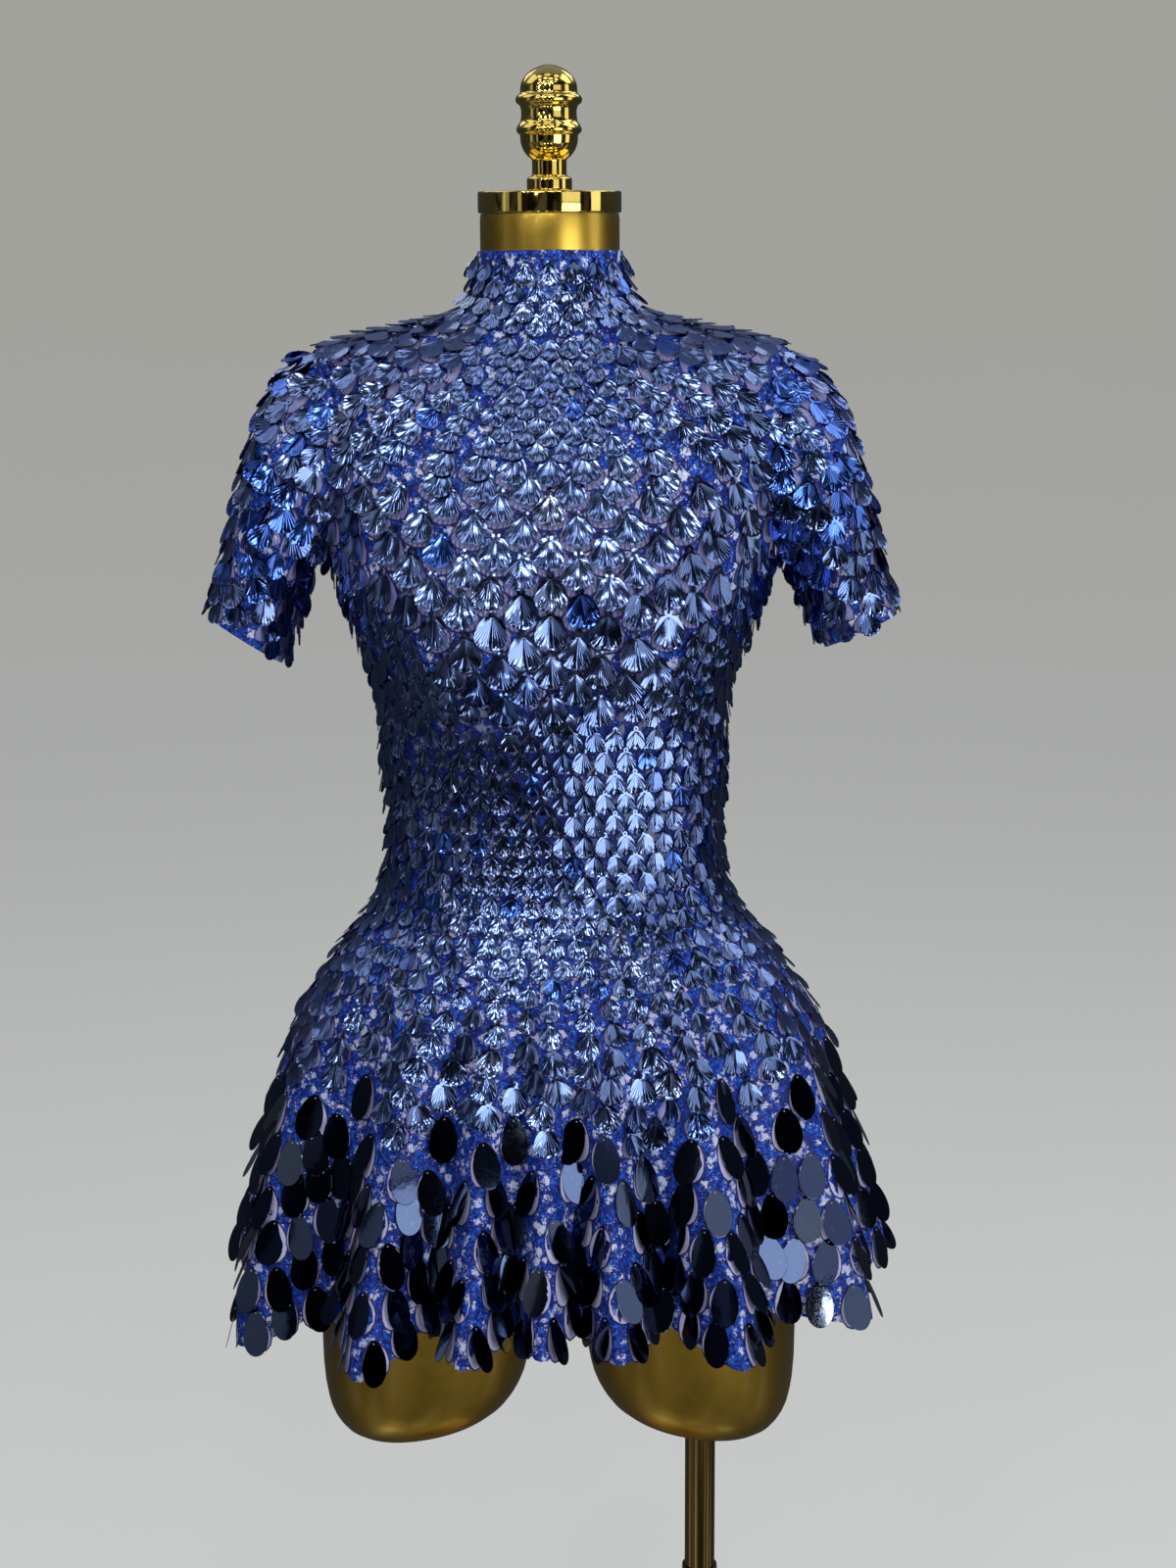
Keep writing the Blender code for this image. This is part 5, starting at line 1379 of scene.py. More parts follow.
class Seated:
    """Where the sequins of one panel sit, and which way each one is turned."""

    def __init__(self, placer, seed, yaw, roll, tilt, hang, even=0.0, loose=0.0):
        surf, sign = placer.surf, placer.sign
        rng = np.random.default_rng(seed)
        a, b, w, kind = placer.arrays()
        self.w, self.kind = w / 1000.0, kind
        size = self.w
        drop = kind == "drop"
        ey = np.array(placer.ey)
        ex = np.array(placer.ex)
        back = np.where(drop, 0.0, -0.50)[:, None] * size[:, None]
        A, B = steps(surf, a, b, np.zeros((len(a), 1)), back, ex, ey)
        # a hinge stays on its own cloth: where the step up would leave a sleeve's
        # head it takes the sequin's own place
        gone = surf(A[:, 0], B[:, 0]) - surf(a, b) - ey * back
        lost = (np.linalg.norm(gone, axis=1) > 0.004) | (B[:, 0] < -0.01)
        self.a = np.where(lost, a, A[:, 0])
        self.b = np.maximum(np.where(lost, b, B[:, 0]), 0.004)
        p0 = surf(self.a, self.b)
        n0 = normals(surf, self.a, self.b, sign)
        ey = fan_way(p0, n0, placer.start, placer.end)
        ex = np.cross(ey, n0)
        self.flat = (ex, ey)
        long = np.where(drop, 1.60, 1.08)
        across, along = np.meshgrid((-0.36, 0.0, 0.36), (0.04, 0.5, 0.96))
        u, v = size[:, None] * across.ravel()[None], (size * long)[:, None] * along.ravel()[None]
        A, B = steps(surf, self.a, self.b, u, v, ex, ey)
        q = surf(A, B)
        even_q = p0[:, None] + ex[:, None] * u[..., None] + ey[:, None] * v[..., None]
        far_q = (np.linalg.norm(q - even_q, axis=-1) > 0.009) & ~drop[:, None]
        q = np.where(far_q[..., None], even_q, q)
        c = q.mean(1)
        d = q - c[:, None]
        _, vec = np.linalg.eigh(np.einsum("kni,knj->kij", d, d))
        n = vec[:, :, 0]
        n = n * np.where((n * n0).sum(-1, keepdims=True) < 0, -1.0, 1.0)
        if even > 0:
            # neighbours on the cloth lie nearly alike
            far = ((p0[:, None] - p0[None]) ** 2).sum(-1)
            near = np.exp(-far / (2 * 0.017 ** 2)) * (n @ n.T > 0.3)
            n = unit(n * (1 - even) + even * unit(near @ n))
        over = np.clip((d * n[:, None]).sum(-1).max(1), 0.0, 0.0030)
        foot = p0 - n * ((p0 - c) * n).sum(-1, keepdims=True)
        self.p = foot + n * (over + 0.0004)[:, None]
        ey = unit(ey - n * (ey * n).sum(-1, keepdims=True))
        k = len(a)
        # at the sides they are knocked about more
        wild = 1.0 + loose * ease(np.abs(n0[:, 0]), 0.72, 0.95) * ease(p0[:, 2], 1.00, 1.07)
        turn = np.radians(rng.normal(0, yaw, k)) * wild
        ex = np.cross(ey, n)
        ey, ex = (ey * np.cos(turn)[:, None] + ex * np.sin(turn)[:, None],
                  ex * np.cos(turn)[:, None] - ey * np.sin(turn)[:, None])
        lean = np.clip(-n[:, 2], 0.0, 0.9)
        # drops are stiff and flat, so their tips stand further off the flare
        lift = np.radians(np.clip(rng.normal(tilt[0], tilt[1], k), 1.0, 30.0)
                          + np.where(drop, 6.0, 0.0))
        lift = lift + hang * np.arcsin(lean)
        ey, n = (ey * np.cos(lift)[:, None] + n * np.sin(lift)[:, None],
                 n * np.cos(lift)[:, None] - ey * np.sin(lift)[:, None])
        rock = np.radians(rng.normal(0, roll, k)) * wild
        ex, n = (ex * np.cos(rock)[:, None] + n * np.sin(rock)[:, None],
                 n * np.cos(rock)[:, None] - ex * np.sin(rock)[:, None])
        self.axes = np.stack([ex, ey, n], 1)
        self.tone = np.clip(rng.normal(0.5, 0.17, k), 0, 1)
        self.pick = rng.random(k)
        self.surf, self.sign = surf, sign


def sequin_mesh(name, seat, keep, blue=0.0):
    """All the scallop sequins of one zone as one mesh."""
    batch = Batch()
    w = seat.w * 1000.0
    for template, lo, hi, fit in ((SMALL, 0.0, 17.2, 0.99), (MIDDLE, 17.2, 23.0, 0.96), (LARGE, 23.0, 99.0, 0.91)):
        size = keep & (seat.kind == "shell") & (w >= lo) & (w < hi)
        for swap in (False, True):
            # the share given by blue takes the bluer foil, a painted reflection of the blue cloth seen at grazing
            # angles
            sel = size & ((seat.pick < blue) == swap)
            t = dict(template)
            if swap:
                t["m"] = np.where(template["m"] == 0, 2, template["m"])
            batch.add(t, seat.p[sel], seat.axes[sel], seat.w[sel] * fit, seat.tone[sel])
    return batch.build(name, ("shell", "eye", "shell_reflected_blue"), sharp=14.0)


def drop_mesh(name, seat, keep):
    batch = Batch()
    sel = keep & (seat.kind == "drop")
    batch.add(DROP, seat.p[sel], seat.axes[sel], seat.w[sel], seat.tone[sel])
    return batch.build(name, ("drop", "bead"), sharp=12.0)


def print_mesh(name, seat, keep):
    """The motifs printed on the cloth under the sequins."""
    batch = Batch()
    for kind, template, mats in (("shell", MOTIF, 0), ("drop", DROP_MOTIF, 2)):
        sel = keep & (seat.kind == kind)
        if not sel.any():
            continue
        ex, ey = seat.flat
        local = template["v"].copy()
        grow = 1.0 if kind == "drop" else np.where((seat.p[sel][:, 2] > 0.99) & (seat.w[sel] > 0.0215), 1.045, 0.93)
        size = seat.w[sel] * grow
        rise = 0.00012 + 0.00030 * np.clip(local[None, :, 1] / 1.2, 0, 1.5) + 0 * size[:, None]
        pts = conform(seat.surf, seat.sign, seat.a[sel], seat.b[sel], ex[sel], ey[sel],
                      local, size, rise)
        # a motif that a steep sleeve head would stretch is left out
        true = np.linalg.norm(pts - seat.p[sel][:, None], axis=-1).max(1) < size * 1.9
        pts, tone = pts[true], seat.tone[sel][true]
        k, n = pts.shape[:2]
        batch.v.append(pts.reshape(-1, 3))
        faces = template["f"][None] + (batch.n + np.arange(k) * n)[:, None, None]
        batch.f.append(faces.reshape(-1, 3))
        batch.m.append(np.tile(template["m"] + mats, k))
        batch.t.append(np.repeat(tone, n))
        batch.u.append(np.tile(template["fan"], (k, 1)))
        batch.n += k * n
    return batch.build(name, ("motif", "motif_edge", "drop_motif", "motif_edge"), sharp=60.0, fan=True)


def sequin_pieces():
    """All sequins and printed motifs, as {name: object}."""
    made = {}
    bodies = place_body()
    left = place_sleeve(sleeve_left, 1, bodies)
    right = place_sleeve(sleeve_right, -1, bodies)
    skirts = place_skirt(bodies)
    print("sequins", len(bodies.p), len(left.p), len(right.p), len(skirts.p))

    s = Seated(bodies, 5, 3.4, 2.6, (7.5, 2.0), 0.25, 0.75, 2.4)
    z, x, front = s.p[:, 2], s.p[:, 0], s.p[:, 1] < 0
    collar = s.b > 0.545
    zones = dict(
        sequins_collar=collar,
        sequins_yoke=~collar & front & (z >= 1.343),
        sequins_chest=~collar & front & (z < 1.343) & (z >= 1.160),
        sequins_waist=~collar & front & (z < 1.160),
        sequins_back_left=~collar & ~front & (x >= 0),
        sequins_back_right=~collar & ~front & (x < 0),
    )
    for name, keep in zones.items():
        made[name] = sequin_mesh(name, s, keep, 0.06 if "back" in name else 0.03)
    made["prints_front"] = print_mesh("prints_front", s, front & (s.w > 0.0162) & ~collar)
    made["prints_back"] = print_mesh("prints_back", s, ~front & (s.w > 0.0162) & ~collar)
    for name, placer, seed in (("left", left, 21), ("right", right, 22)):
        s = Seated(placer, seed, 16.0, 8.0, (8.0, 3.5), 0.30, 0.3)
        every = np.ones(len(s.w), bool)
        # nearly half the sleeve sequins take the bluer foil as painted reflection, since the sleeves are seen edge-on
        made["sequins_sleeve_" + name] = sequin_mesh("sequins_sleeve_" + name, s, every, 0.45)
        made["prints_sleeve_" + name] = print_mesh("prints_sleeve_" + name, s, every)
    s = Seated(skirts, 31, 6.0, 7.5, (4.5, 4.5), 0.55)
    front = s.p[:, 1] < 0
    for name, keep in (("front", front), ("back", ~front)):
        made["sequins_skirt_" + name] = sequin_mesh("sequins_skirt_" + name, s, keep, 0.05)
        made["drops_" + name] = drop_mesh("drops_" + name, s, keep)
        made["prints_skirt_" + name] = print_mesh("prints_skirt_" + name, s, keep)
    return made


# ------------------------------------------------------------------ zip
def strip_frame(run, lift=0.0):
    """Point on the centre back line and its outward and upward ways."""
    run = np.asarray(run, float)
    t = np.full_like(run, math.pi)
    p = body_plain(t, run)
    n = normals(body_plain, t, np.clip(run, 0.0012, RUN_TOP - 0.0012), 1)
    n[..., 0] = 0.0
    n = unit(n)
    up = np.stack([np.zeros_like(run), -n[..., 2], n[..., 1]], -1)
    up = up * np.where(up[..., 2:] < 0, -1.0, 1.0)
    return p + n * np.asarray(lift)[..., None], n, up


def zip_pieces():
    rows = np.linspace(0.004, RUN_TOP - 0.001, 150)
    p, n, up = strip_frame(rows)
    # woven tape: thin at its edges, with a low rolled ridge along either side
    across = np.array([-2.8, -2.3, -1.9, -1.5, -1.0, 1.0, 1.5, 1.9, 2.3, 2.8]) / 1000.0
    high = np.array([-0.35, -0.15, -0.10, -0.30, -0.45, -0.45, -0.30, -0.10, -0.15, -0.35]) / 1000.0
    top = p[:, None] + np.array([1.0, 0, 0]) * across[None, ::-1, None] + n[:, None] * high[None, :, None]
    low = p[:, None] + np.array([1.0, 0, 0]) * across[None, ::-1, None] - n[:, None] * 0.0012
    rows_n, cols = top.shape[:2]
    idx = np.arange(rows_n * cols).reshape(rows_n, cols)
    skin = rows_n * cols
    quads = np.stack([idx[:-1, :-1], idx[:-1, 1:], idx[1:, 1:], idx[1:, :-1]], -1).reshape(-1, 4)
    faces = [quads, quads[:, ::-1] + skin]
    for path, back in ((idx[0], False), (idx[-1], True), (idx[:, 0], True), (idx[:, -1], False)):
        q = np.stack([path[:-1], path[:-1] + skin, path[1:] + skin, path[1:]], -1)
        faces.append(q[:, ::-1] if back else q)
    tape = outward(finish_mesh("zip_tape", np.concatenate([top.reshape(-1, 3), low.reshape(-1, 3)]),
                               np.concatenate(faces), ("tape",), sharp=60.0))
    # coil: rounded links from either side that meet along the middle
    batch = Batch()
    seg = 6
    verts, f = [], []
    stations = ((-0.5, 0.12), (-0.36, 0.46), (0.30, 0.50), (0.50, 0.22))
    for x, r in stations:
        for k in range(seg):
            a = 2 * math.pi * k / seg
            verts.append((x, r * math.cos(a), 0.42 * r * math.sin(a) * 2.0))
    for s in range(len(stations) - 1):
        for k in range(seg):
            q = (k + 1) % seg
            f.append((s * seg + k, s * seg + q, (s + 1) * seg + q))
            f.append((s * seg + k, (s + 1) * seg + q, (s + 1) * seg + k))
    last = (len(stations) - 1) * seg
    for k in range(1, seg - 1):
        f.append((0, k + 1, k))
        f.append((last, last + k, last + k + 1))
    link = oriented(np.array(verts), np.array(f), np.zeros(len(f), int))
    at = np.arange(0.0072, RUN_TOP - 0.0045, 0.0014)
    for hand in (-1, 1):
        run = at + (0.0007 if hand > 0 else 0.0)
        q, qn, qu = strip_frame(run, np.full(len(run), -0.00018))
        ex = np.zeros_like(q)
        ex[:, 0] = -hand
        axes = np.stack([ex * 1.9, qu * 1.02, qn * 0.75], 1)
        q[:, 0] += hand * 0.00062
        batch.add(link, q, axes, np.full(len(run), 0.00118), np.full(len(run), 0.5))
    coil = batch.build("zip_coil", ("coil",), sharp=45.0)
    return {"zip_tape": tape, "zip_coil": coil}


# ------------------------------------------------------------------ form
def loft(name, rings, mat, sharp=50.0):
    rings = np.asarray(rings, float)
    rows, cols = rings.shape[:2]
    verts = rings.reshape(-1, 3)
    idx = np.arange(rows * cols).reshape(rows, cols)
    nxt = np.roll(idx, -1, axis=1)
    quads = np.stack([idx[:-1], nxt[:-1], nxt[1:], idx[1:]], -1).reshape(-1, 4)
    faces = [tuple(q) for q in quads] + [tuple(idx[0][::-1]), tuple(idx[-1])]
    return outward(finish_mesh(name, verts, faces, (mat,), sharp=sharp))


def form_piece():
    segs = 112
    t = 2 * np.pi * np.arange(segs) / segs
    rings = []
    for z in (NECK_TOP, NECK_TOP - 0.004, 1.500, 1.494):
        r = NECK_RADIUS - (0.0006 if z == NECK_TOP else 0.0)
        x, y = oval(t, r, r, r)
        rings.append(np.stack([x, y, np.full(segs, z)], -1))
    for run in np.concatenate([[0.611, 0.600, 0.590, 0.581, 0.572, 0.563, 0.553, 0.542, 0.530],
                               np.linspace(0.516, 0.014, 56)]):
        run = np.full(segs, run)
        near = body_at("width", RUN_TOP) - NECK_RADIUS
        s = np.clip((run - 0.535) / (RUN_TOP - 0.535), 0, 1)
        gap = FORM_GAP + (near - FORM_GAP) * s
        n = normals(body_plain, t, np.clip(run, 0.0012, RUN_TOP - 0.0012), 1)
        rings.append(body_plain(t, run) - n * gap[:, None])
    for z in (0.975, 0.960, 0.940, 0.920, 0.898, 0.875, 0.852, 0.830, 0.814, 0.800, 0.789, 0.780, 0.774, 0.769):
        x, y = oval(t, hip_at("width", z), hip_at("front", z), hip_at("back", z), 2.1)
        rings.append(np.stack([x, y, np.full(segs, z)], -1))
    torso = loft("dress_form", rings, "form")

    def thigh(side):
        k = 72
        t = 2 * np.pi * np.arange(k) / k
        rings = []
        for z in (0.850, 0.825, 0.800, 0.770, 0.740, 0.705, 0.670, 0.648, 0.625, 0.611, 0.600,
                  0.592, 0.585, 0.579, 0.573, 0.568, 0.565, 0.5625, 0.561):
            x, y = oval(t, thigh_at("width", z), thigh_at("front", z), thigh_at("back", z), 2.1)
            fade = np.clip((0.67 - z) / 0.06, 0, 1)
            rings.append(np.stack([side * (thigh_at("centre", z) + x), y,
                                   z - THIGH_SLANT * x * fade], -1))
        return loft("thigh_tool", rings, "form")

    socket = lathe("socket_tool", [(0.500, SOCKET_RADIUS), (SOCKET_TOP, SOCKET_RADIUS)], "form",
                   (POLE_X, 0.0), 40)
    tools = [(thigh(1), "UNION"), (thigh(-1), "UNION"), (socket, "DIFFERENCE")]
    for tool, op in tools:
        mod = torso.modifiers.new(op, "BOOLEAN")
        mod.operation, mod.solver, mod.object = op, "EXACT", tool
    bake_shape(torso)
    for tool, _ in tools:
        mesh = tool.data
        bpy.data.objects.remove(tool, do_unlink=True)
        bpy.data.meshes.remove(mesh)
    torso.data.set_sharp_from_angle(angle=math.radians(42))
    return torso


def bake_shape(obj):
    """Puts an object's modifiers into its mesh."""
    dg = bpy.context.evaluated_depsgraph_get()
    dg.update()
    mesh = bpy.data.meshes.new_from_object(obj.evaluated_get(dg), depsgraph=dg)
    old = obj.data
    obj.modifiers.clear()
    obj.data = mesh
    if not mesh.materials:
        for m in old.materials:
            mesh.materials.append(m)
    mesh.shade_smooth()
    bpy.data.meshes.remove(old)


# ------------------------------------------------------------------ hardware
def lathe(name, profile, mat, centre=(0.0, 0.0), segs=64, sharp=38.0, hole=0.0):
    """Turned shape from (height, radius) pairs; hole > 0 leaves a round bore."""
    t = 2 * np.pi * np.arange(segs) / segs
    rows = []
    for z, r in profile:
        rows.append(np.stack([centre[0] + r * np.sin(t), centre[1] - r * np.cos(t),
                              np.full(segs, z)], -1))
    if hole > 0:
        for z in (profile[-1][0], profile[0][0]):
            rows.append(np.stack([centre[0] + hole * np.sin(t), centre[1] - hole * np.cos(t),
                                  np.full(segs, z)], -1))
    rings = np.array(rows)
    n, k = rings.shape[:2]
    idx = np.arange(n * k).reshape(n, k)
    nxt = np.roll(idx, -1, axis=1)
    top = np.roll(idx, -1, axis=0) if hole > 0 else idx[1:]
    topn = np.roll(nxt, -1, axis=0) if hole > 0 else nxt[1:]
    cur, curn = (idx, nxt) if hole > 0 else (idx[:-1], nxt[:-1])
    quads = np.stack([cur, curn, topn, top], -1).reshape(-1, 4)
    faces = [tuple(int(i) for i in q) for q in quads]
    if hole <= 0:
        faces += [tuple(int(i) for i in idx[0][::-1]), tuple(int(i) for i in idx[-1])]
    return outward(finish_mesh(name, rings.reshape(-1, 3), faces, (mat,), sharp=sharp))


def rounded(points, radius, count=5):
    """A profile with its corners rounded."""
    pts = [np.array(p, float) for p in points]
    out = [tuple(pts[0])]
    for a, b, c in zip(pts, pts[1:], pts[2:]):
        la, lc = np.linalg.norm(a - b), np.linalg.norm(c - b)
        r = min(radius, la * 0.45, lc * 0.45)
        s, e = b + (a - b) / la * r, b + (c - b) / lc * r
        for k in range(count + 1):
            u = k / count
            out.append(tuple((1 - u) ** 2 * s + 2 * u * (1 - u) * b + u * u * e))
    out.append(tuple(pts[-1]))
    return out


def hardware_pieces():
    made = {}
    z = CAP_FOOT
    top = z + CAP_HEIGHT
    made["neck_cap"] = lathe("turned_cap", rounded([(z, 0.0470), (z, CAP_RADIUS - 0.0001),
                             (top, CAP_RADIUS - 0.0001), (top, 0.0175), (top - 0.0001, 0.0040)], 0.0014),
                             "brass", segs=128)
    foot = top + SEAM
    hs = np.concatenate([np.linspace(0, FINIAL[-1][0], 110)])
    prof = [(foot + h, float(finial_at("radius", h))) for h in hs]
    prof.insert(0, (foot, 0.0150))
    prof += [(foot + FINIAL[-1][0] + 0.0004, 0.0042), (foot + FINIAL[-1][0] + 0.0006, 0.0022)]
    made["finial"] = lathe("turned_finial", prof, "brass", segs=88, sharp=44.0)
    made["upper_pole"] = lathe("pole_upper", rounded([(POLE_FOOT, 0.0020), (POLE_FOOT, POLE_RADIUS),
                               (POLE_TOP, POLE_RADIUS), (POLE_TOP, 0.0020)], 0.0008, 3), "pole",
                               (POLE_X, 0.0), 56)
    top = TUBE_TOP + SEAM
    made["height_bush"] = lathe("bush_black", rounded(
        [(top, TUBE_INNER), (top, BUSH_RADIUS), (top + 0.0205, BUSH_RADIUS), (top + 0.0210, BUSH_RADIUS - 0.0004),
         (top + 0.0216, BUSH_RADIUS - 0.0004), (top + 0.0221, BUSH_RADIUS), (top + BUSH_HEIGHT, BUSH_RADIUS),
         (top + BUSH_HEIGHT, TUBE_INNER)], 0.0005, 3), "bush", (POLE_X, 0.0), 56, hole=TUBE_INNER - 0.0001)
    low = BASE_HEIGHT + SEAM
    made["lower_tube"] = lathe("tube_lower", rounded([(low, TUBE_INNER), (low, TUBE_OUTER), (TUBE_TOP, TUBE_OUTER),
                               (TUBE_TOP, TUBE_INNER)], 0.0004, 3), "pole", (POLE_X, 0.0), 56,
                               hole=TUBE_INNER - 0.0001)
    r = TUBE_OUTER + SEAM
    made["base_flange"] = lathe("flange_turned", rounded(
        [(low, r), (low, 0.0340), (low + 0.0030, 0.0340), (low + 0.0050, 0.0322), (low + 0.0070, 0.0222),
         (low + 0.0220, 0.0197), (low + 0.0240, 0.0180), (low + 0.0240, r)], 0.0008, 4), "pole",
        (POLE_X, 0.0), 72, hole=r)
    made["base"] = lathe("base_plate", rounded(
        [(0.0, 0.004), (0.0, BASE_RADIUS - 0.0010), (0.0010, BASE_RADIUS), (BASE_HEIGHT - 0.0022, BASE_RADIUS),
         (BASE_HEIGHT, BASE_RADIUS - 0.0030), (BASE_HEIGHT, 0.004)], 0.0012, 4), "pole", segs=160)
    return made


# ------------------------------------------------------------------ put together
cloth = cloth_pieces()
sequins = sequin_pieces()
zip_parts = zip_pieces()
form = form_piece()
hardware = hardware_pieces()

# Each panel's cut: the width and length of the cloth it is cut from, its own
# area, and how it is held. The skirt halves are sectors of a ring.
SHEETS = dict(
    bodice_front=(0.470, 0.560, 0.1880, "stretched"), bodice_back_left=(0.225, 0.560, 0.0925, "stretched"),
    bodice_back_right=(0.225, 0.560, 0.0925, "stretched"), collar=(0.412, 0.055, 0.0166, "stretched"),
    sleeve_left=(0.310, 0.225, 0.0490, "hung"), sleeve_right=(0.310, 0.225, 0.0490, "hung"),
    skirt_front=(0.860, 0.400, 0.2120, "hung"), skirt_back=(0.860, 0.400, 0.2120, "hung"),
)
for node, piece in cloth.items():
    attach(piece, "form")
    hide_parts(node)
    wide, high, own, held = SHEETS[node]
for piece in sequins.values():
    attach(piece, "form")
for piece in zip_parts.values():
    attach(piece, "form")
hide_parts("zip_chain")
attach(form, "form")
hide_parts("form_torso")
BODIES = dict(neck_cap="form", finial="form", upper_pole="form")
for node, piece in hardware.items():
    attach(piece, BODIES.get(node, "stand"))
    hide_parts(node)
for node in ("zip_slider", "zip_pull"):
    obj = frame["nodes"][node]
    for k in range(max(1, len(obj.material_slots))):
        if obj.material_slots:
            obj.material_slots[k].material = M["zinc"]
        else:
            obj.data.materials.append(M["zinc"])


# ------------------------------------------------------------------ stage
def backdrop():
    """A pale floor that curves up all round into a plain backdrop."""
    profile = [(0.02, 0.0)]
    for r in np.linspace(0.4, 6.5, 14):
        profile.append((r, 0.0))
    for a in np.linspace(6, 90, 15):
        s = math.radians(a)
        profile.append((6.5 + 1.8 * math.sin(s), 1.8 * (1 - math.cos(s))))
    for h in np.linspace(2.4, 9.0, 6):
        profile.append((8.3, h))
    segs = 96
    t = 2 * np.pi * np.arange(segs) / segs
    rings = np.array([np.stack([r * np.sin(t), r * np.cos(t), np.full(segs, z)], -1) for r, z in profile])
    n, k = rings.shape[:2]
    idx = np.arange(n * k).reshape(n, k)
    nxt = np.roll(idx, -1, axis=1)
    quads = np.stack([idx[:-1], nxt[:-1], nxt[1:], idx[1:]], -1).reshape(-1, 4)
    M["floor"] = plain_floor()
    obj = finish_mesh("studio_floor", rings.reshape(-1, 3), quads, ("floor",))
    return obj


def plain_floor():
    m = Maker("studio_floor")
    n = m.noise(0.9, 3.0, 0.5)
    return m.set(Base_Color=m.mix(n.outputs["Fac"], (0.560, 0.570, 0.550), (0.600, 0.605, 0.590)),
                 Roughness=0.85, Specular_IOR_Level=0.15, Emission_Color=(0.292, 0.287, 0.256),
                 Emission_Strength=1.0)


def area(name, where, aim, size, power, colour=(1.0, 1.0, 1.0), spread=None):
    light = bpy.data.lights.new(name, "AREA")
    light.shape = "RECTANGLE"
    light.size, light.size_y = size
    light.energy = power
    light.color = colour
    if spread is not None:
        light.spread = math.radians(spread)
    obj = bpy.data.objects.new(name, light)
    obj.location = where
    obj.rotation_mode = "QUATERNION"
    obj.rotation_quaternion = (Vector(aim) - Vector(where)).to_track_quat("-Z", "Y")
    SCENE.collection.objects.link(obj)
    return obj


def world():
    """Plain pale surroundings for the camera, and a dim patchy room for reflections."""
    w = bpy.data.worlds.new("room")
    w.use_nodes = True
    tree = w.node_tree
    tree.nodes.clear()
    new, link = tree.nodes.new, tree.links.new
    out = new("ShaderNodeOutputWorld")
    coord = new("ShaderNodeTexCoord").outputs["Generated"]
    sep = new("ShaderNodeSeparateXYZ")
    link(coord, sep.inputs[0])

    def maths(op, a, b, c=None):
        n = new("ShaderNodeMath")
        n.operation = op
        for k, v in enumerate((a, b, c)):
            if v is None:
                continue
            if isinstance(v, bpy.types.NodeSocket):
                link(v, n.inputs[k])
            else:
                n.inputs[k].default_value = v
        return n.outputs[0]

    def ramp(fac, stops, mode="LINEAR"):
        n = new("ShaderNodeValToRGB")
        link(fac, n.inputs[0])
        band = n.color_ramp
        band.interpolation = mode
        band.elements.remove(band.elements[-1])
        band.elements[0].position, band.elements[0].color = stops[0][0], (*stops[0][1], 1.0)
        for at, colour in stops[1:]:
            band.elements.new(at).color = (*colour, 1.0)
        return n.outputs[0]

    # front of the room: dark at eye height, paler floor and ceiling
    front = ramp(maths("MULTIPLY_ADD", sep.outputs[2], 0.5, 0.5),
                 ((0.00, (0.13, 0.13, 0.13)), (0.30, (0.065, 0.065, 0.07)), (0.37, (0.030, 0.032, 0.038)),
                  (0.42, (0.012, 0.013, 0.016)), (0.54, (0.011, 0.012, 0.016)), (0.62, (0.016, 0.018, 0.023)),
                  (0.80, (0.030, 0.034, 0.043)), (0.90, (0.066, 0.074, 0.092)), (1.00, (0.11, 0.12, 0.15))))
    # behind the object: a lit pale wall
    back = ramp(maths("MULTIPLY_ADD", sep.outputs[2], 0.5, 0.5),
                ((0.00, (0.05, 0.055, 0.065)), (0.45, (0.034, 0.040, 0.054)), (0.58, (0.044, 0.053, 0.072)),
                 (0.70, (0.13, 0.155, 0.21)), (0.85, (0.27, 0.32, 0.42)), (1.00, (0.22, 0.25, 0.32))))
    side = ramp(maths("MULTIPLY_ADD", sep.outputs[1], 0.5, 0.5),
                ((0.46, (0.0, 0.0, 0.0)), (0.62, (1.0, 1.0, 1.0))))
    # patches: furniture, rails and openings, seen only in the mirrors
    cells = new("ShaderNodeTexVoronoi")
    stretch = new("ShaderNodeMapping")
    stretch.inputs["Scale"].default_value = (3.1, 3.1, 1.7)
    link(coord, stretch.inputs[0])
    link(stretch.outputs[0], cells.inputs["Vector"])
    cells.inputs["Scale"].default_value = 1.9
    grey = new("ShaderNodeSeparateColor")
    link(cells.outputs["Color"], grey.inputs[0])
    patch = ramp(grey.outputs[0], ((0.0, (0.25, 0.25, 0.27)), (0.30, (0.70, 0.70, 0.74)),
                                   (0.55, (1.5, 1.5, 1.55)), (0.78, (3.2, 3.1, 3.0)), (0.90, (6.0, 6.2, 6.6))),
                 "CONSTANT")
    mul = new("ShaderNodeMix")
    mul.data_type, mul.blend_type = "RGBA", "MULTIPLY"
    mul.inputs["Factor"].default_value = 1.0
    link(front, mul.inputs[6])
    link(patch, mul.inputs[7])
    both = new("ShaderNodeMix")
    both.data_type = "RGBA"
    link(side, both.inputs["Factor"])
    link(mul.outputs[2], both.inputs[6])
    link(back, both.inputs[7])
    room = new("ShaderNodeBackground")
    link(both.outputs[2], room.inputs[0])
    plain = new("ShaderNodeBackground")
    plain.inputs[0].default_value = (0.46, 0.47, 0.46, 1.0)
    path = new("ShaderNodeLightPath")
    mix = new("ShaderNodeMixShader")
    link(path.outputs["Is Camera Ray"], mix.inputs[0])
    link(room.outputs[0], mix.inputs[1])
    link(plain.outputs[0], mix.inputs[2])
    link(mix.outputs[0], out.inputs[0])
    SCENE.world = w


floor = backdrop()
floor.visible_glossy = False
floor.visible_diffuse = False
floor.visible_shadow = False
world()
AIM = (0.0, 0.0, 1.15)


def lamp(name, where, size, radiance, colour=(1.0, 1.0, 1.0), aim=AIM, spread=None):
    """A rectangular light given by how bright its face is."""
    return area(name, where, aim, size, radiance * size[0] * size[1] * math.pi, colour, spread)


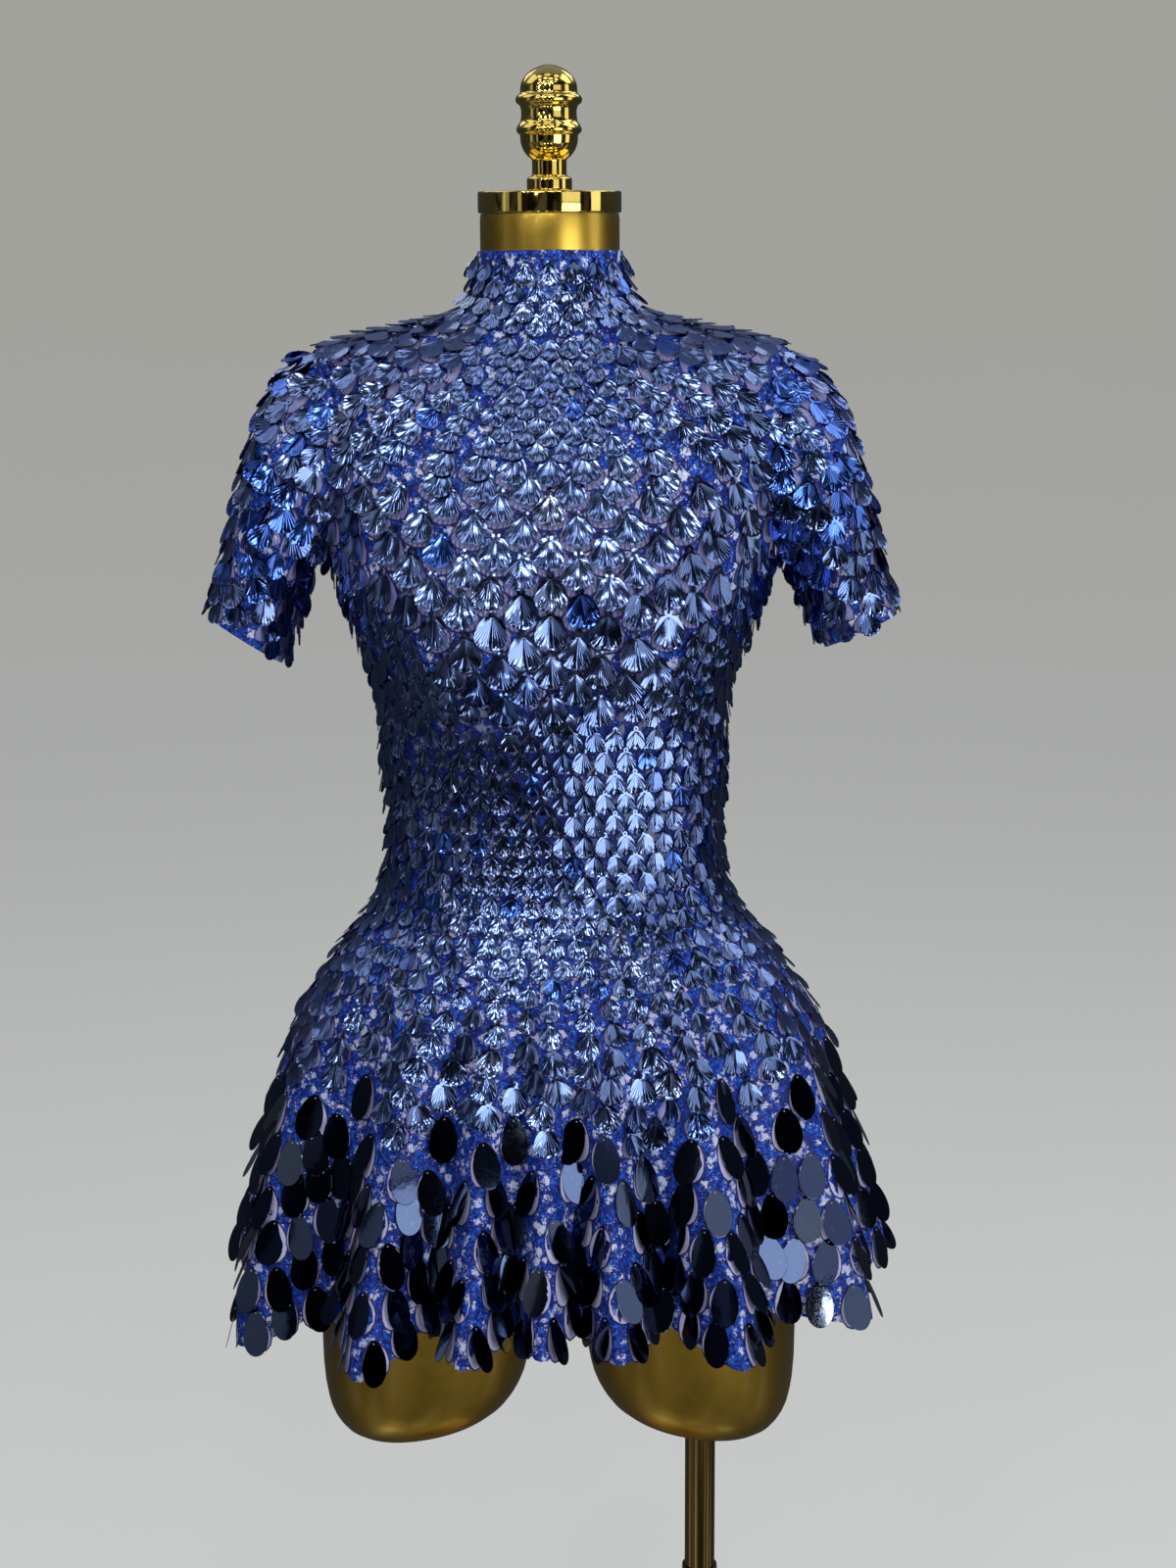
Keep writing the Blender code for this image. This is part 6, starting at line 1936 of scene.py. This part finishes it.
lamp("window", (1.55, -2.20, 0.87), (1.45, 1.25), 4.6, (0.93, 0.97, 1.0))
lamp("window_top", (1.55, -2.20, 1.90), (1.45, 0.75), 1.2, (0.93, 0.97, 1.0))
lamp("right_wall", (2.7, -0.5, 1.5), (0.9, 1.7), 1.45, (0.94, 0.97, 1.0))
for k, (x, y, wide, radiance) in enumerate((
        (-1.35, -1.75, 0.30, 3.0), (-0.72, -1.80, 0.34, 3.2), (-0.10, -1.74, 0.30, 2.7), (0.50, -1.78, 0.36, 3.1),
        (1.15, -1.72, 0.30, 3.5), (-1.05, -0.95, 0.40, 2.2), (-0.36, -0.90, 0.36, 1.8), (0.26, -0.98, 0.42, 2.0),
        (0.92, -0.92, 0.38, 2.8), (-0.10, -0.40, 0.50, 1.4), (0.75, -0.35, 0.50, 1.6), (-0.90, -0.35, 0.50, 1.4))):
    lamp("panel_%d" % k, (x, y, 3.3), (wide, 0.32), radiance, (0.96, 0.98, 1.0), aim=(x * 0.4, 0.0, 1.3))
lamp("ceiling_left", (-1.9, 0.1, 3.1), (1.3, 1.5), 1.1, (0.94, 0.97, 1.0))
lamp("ceiling_right", (1.9, 0.3, 3.1), (1.3, 1.5), 2.1, (0.94, 0.97, 1.0))
lamp("left_wall", (-2.7, -0.9, 1.7), (0.5, 1.5), 0.3, (0.94, 0.97, 1.0))
lamp("back_left", (-1.6, 2.2, 3.3), (1.2, 1.2), 1.3)
lamp("back_right", (1.6, 2.2, 3.3), (1.2, 1.2), 1.5)
lamp("left_near", (-2.2, -2.0, 1.45), (0.32, 1.7), 0.42, (0.94, 0.97, 1.0))
lamp("left_far", (-3.0, -0.7, 1.40), (0.34, 1.7), 0.42, (0.94, 0.97, 1.0))
for k, (turn, rise, wide, radiance) in enumerate((
        (-27.0, 33.0, 0.30, 16.0), (-12.0, 31.0, 0.40, 19.0), (3.0, 30.5, 0.34, 18.0), (17.0, 33.0, 0.30, 15.0),
        (-20.0, 45.0, 0.24, 12.0), (10.0, 45.0, 0.24, 12.0), (-34.0, 22.0, 0.14, 20.0), (-14.0, 23.0, 0.16, 22.0),
        (4.0, 21.5, 0.13, 20.0),
        (-44.0, 32.0, 0.22, 16.0), (-20.0, 14.0, 0.12, 20.0), (-40.0, 16.0, 0.12, 18.0))):
    a, e = math.radians(turn), math.radians(rise)
    lamp("spot_%d" % k, (3.1 * math.cos(e) * math.sin(a), -3.1 * math.cos(e) * math.cos(a),
                         1.18 + 3.1 * math.sin(e)), (wide, 0.20), radiance)
lamp("low_a", (-0.75, -2.3, 0.18), (0.22, 0.22), 9.0)
lamp("low_b", (-0.20, -2.6, 0.10), (0.18, 0.18), 9.0)
lamp("low_c", (0.40, -2.2, 0.25), (0.16, 0.16), 8.0)

# ------------------------------------------------------------------ camera
lens = bpy.data.cameras.new("camera")
lens.lens, lens.sensor_width = 57.76, 36.0
lens.clip_start, lens.clip_end = 0.05, 60.0
camera = bpy.data.objects.new("camera", lens)
camera.location = (0.026, -1.9, 1.5)
camera.rotation_mode = "QUATERNION"
way = Vector((0.0, math.cos(math.radians(12.3)), -math.sin(math.radians(12.3))))
camera.rotation_quaternion = way.to_track_quat("-Z", "Y") @ Quaternion((0.0, 0.0, 1.0), -math.radians(0.3))
SCENE.collection.objects.link(camera)
SCENE.camera = camera
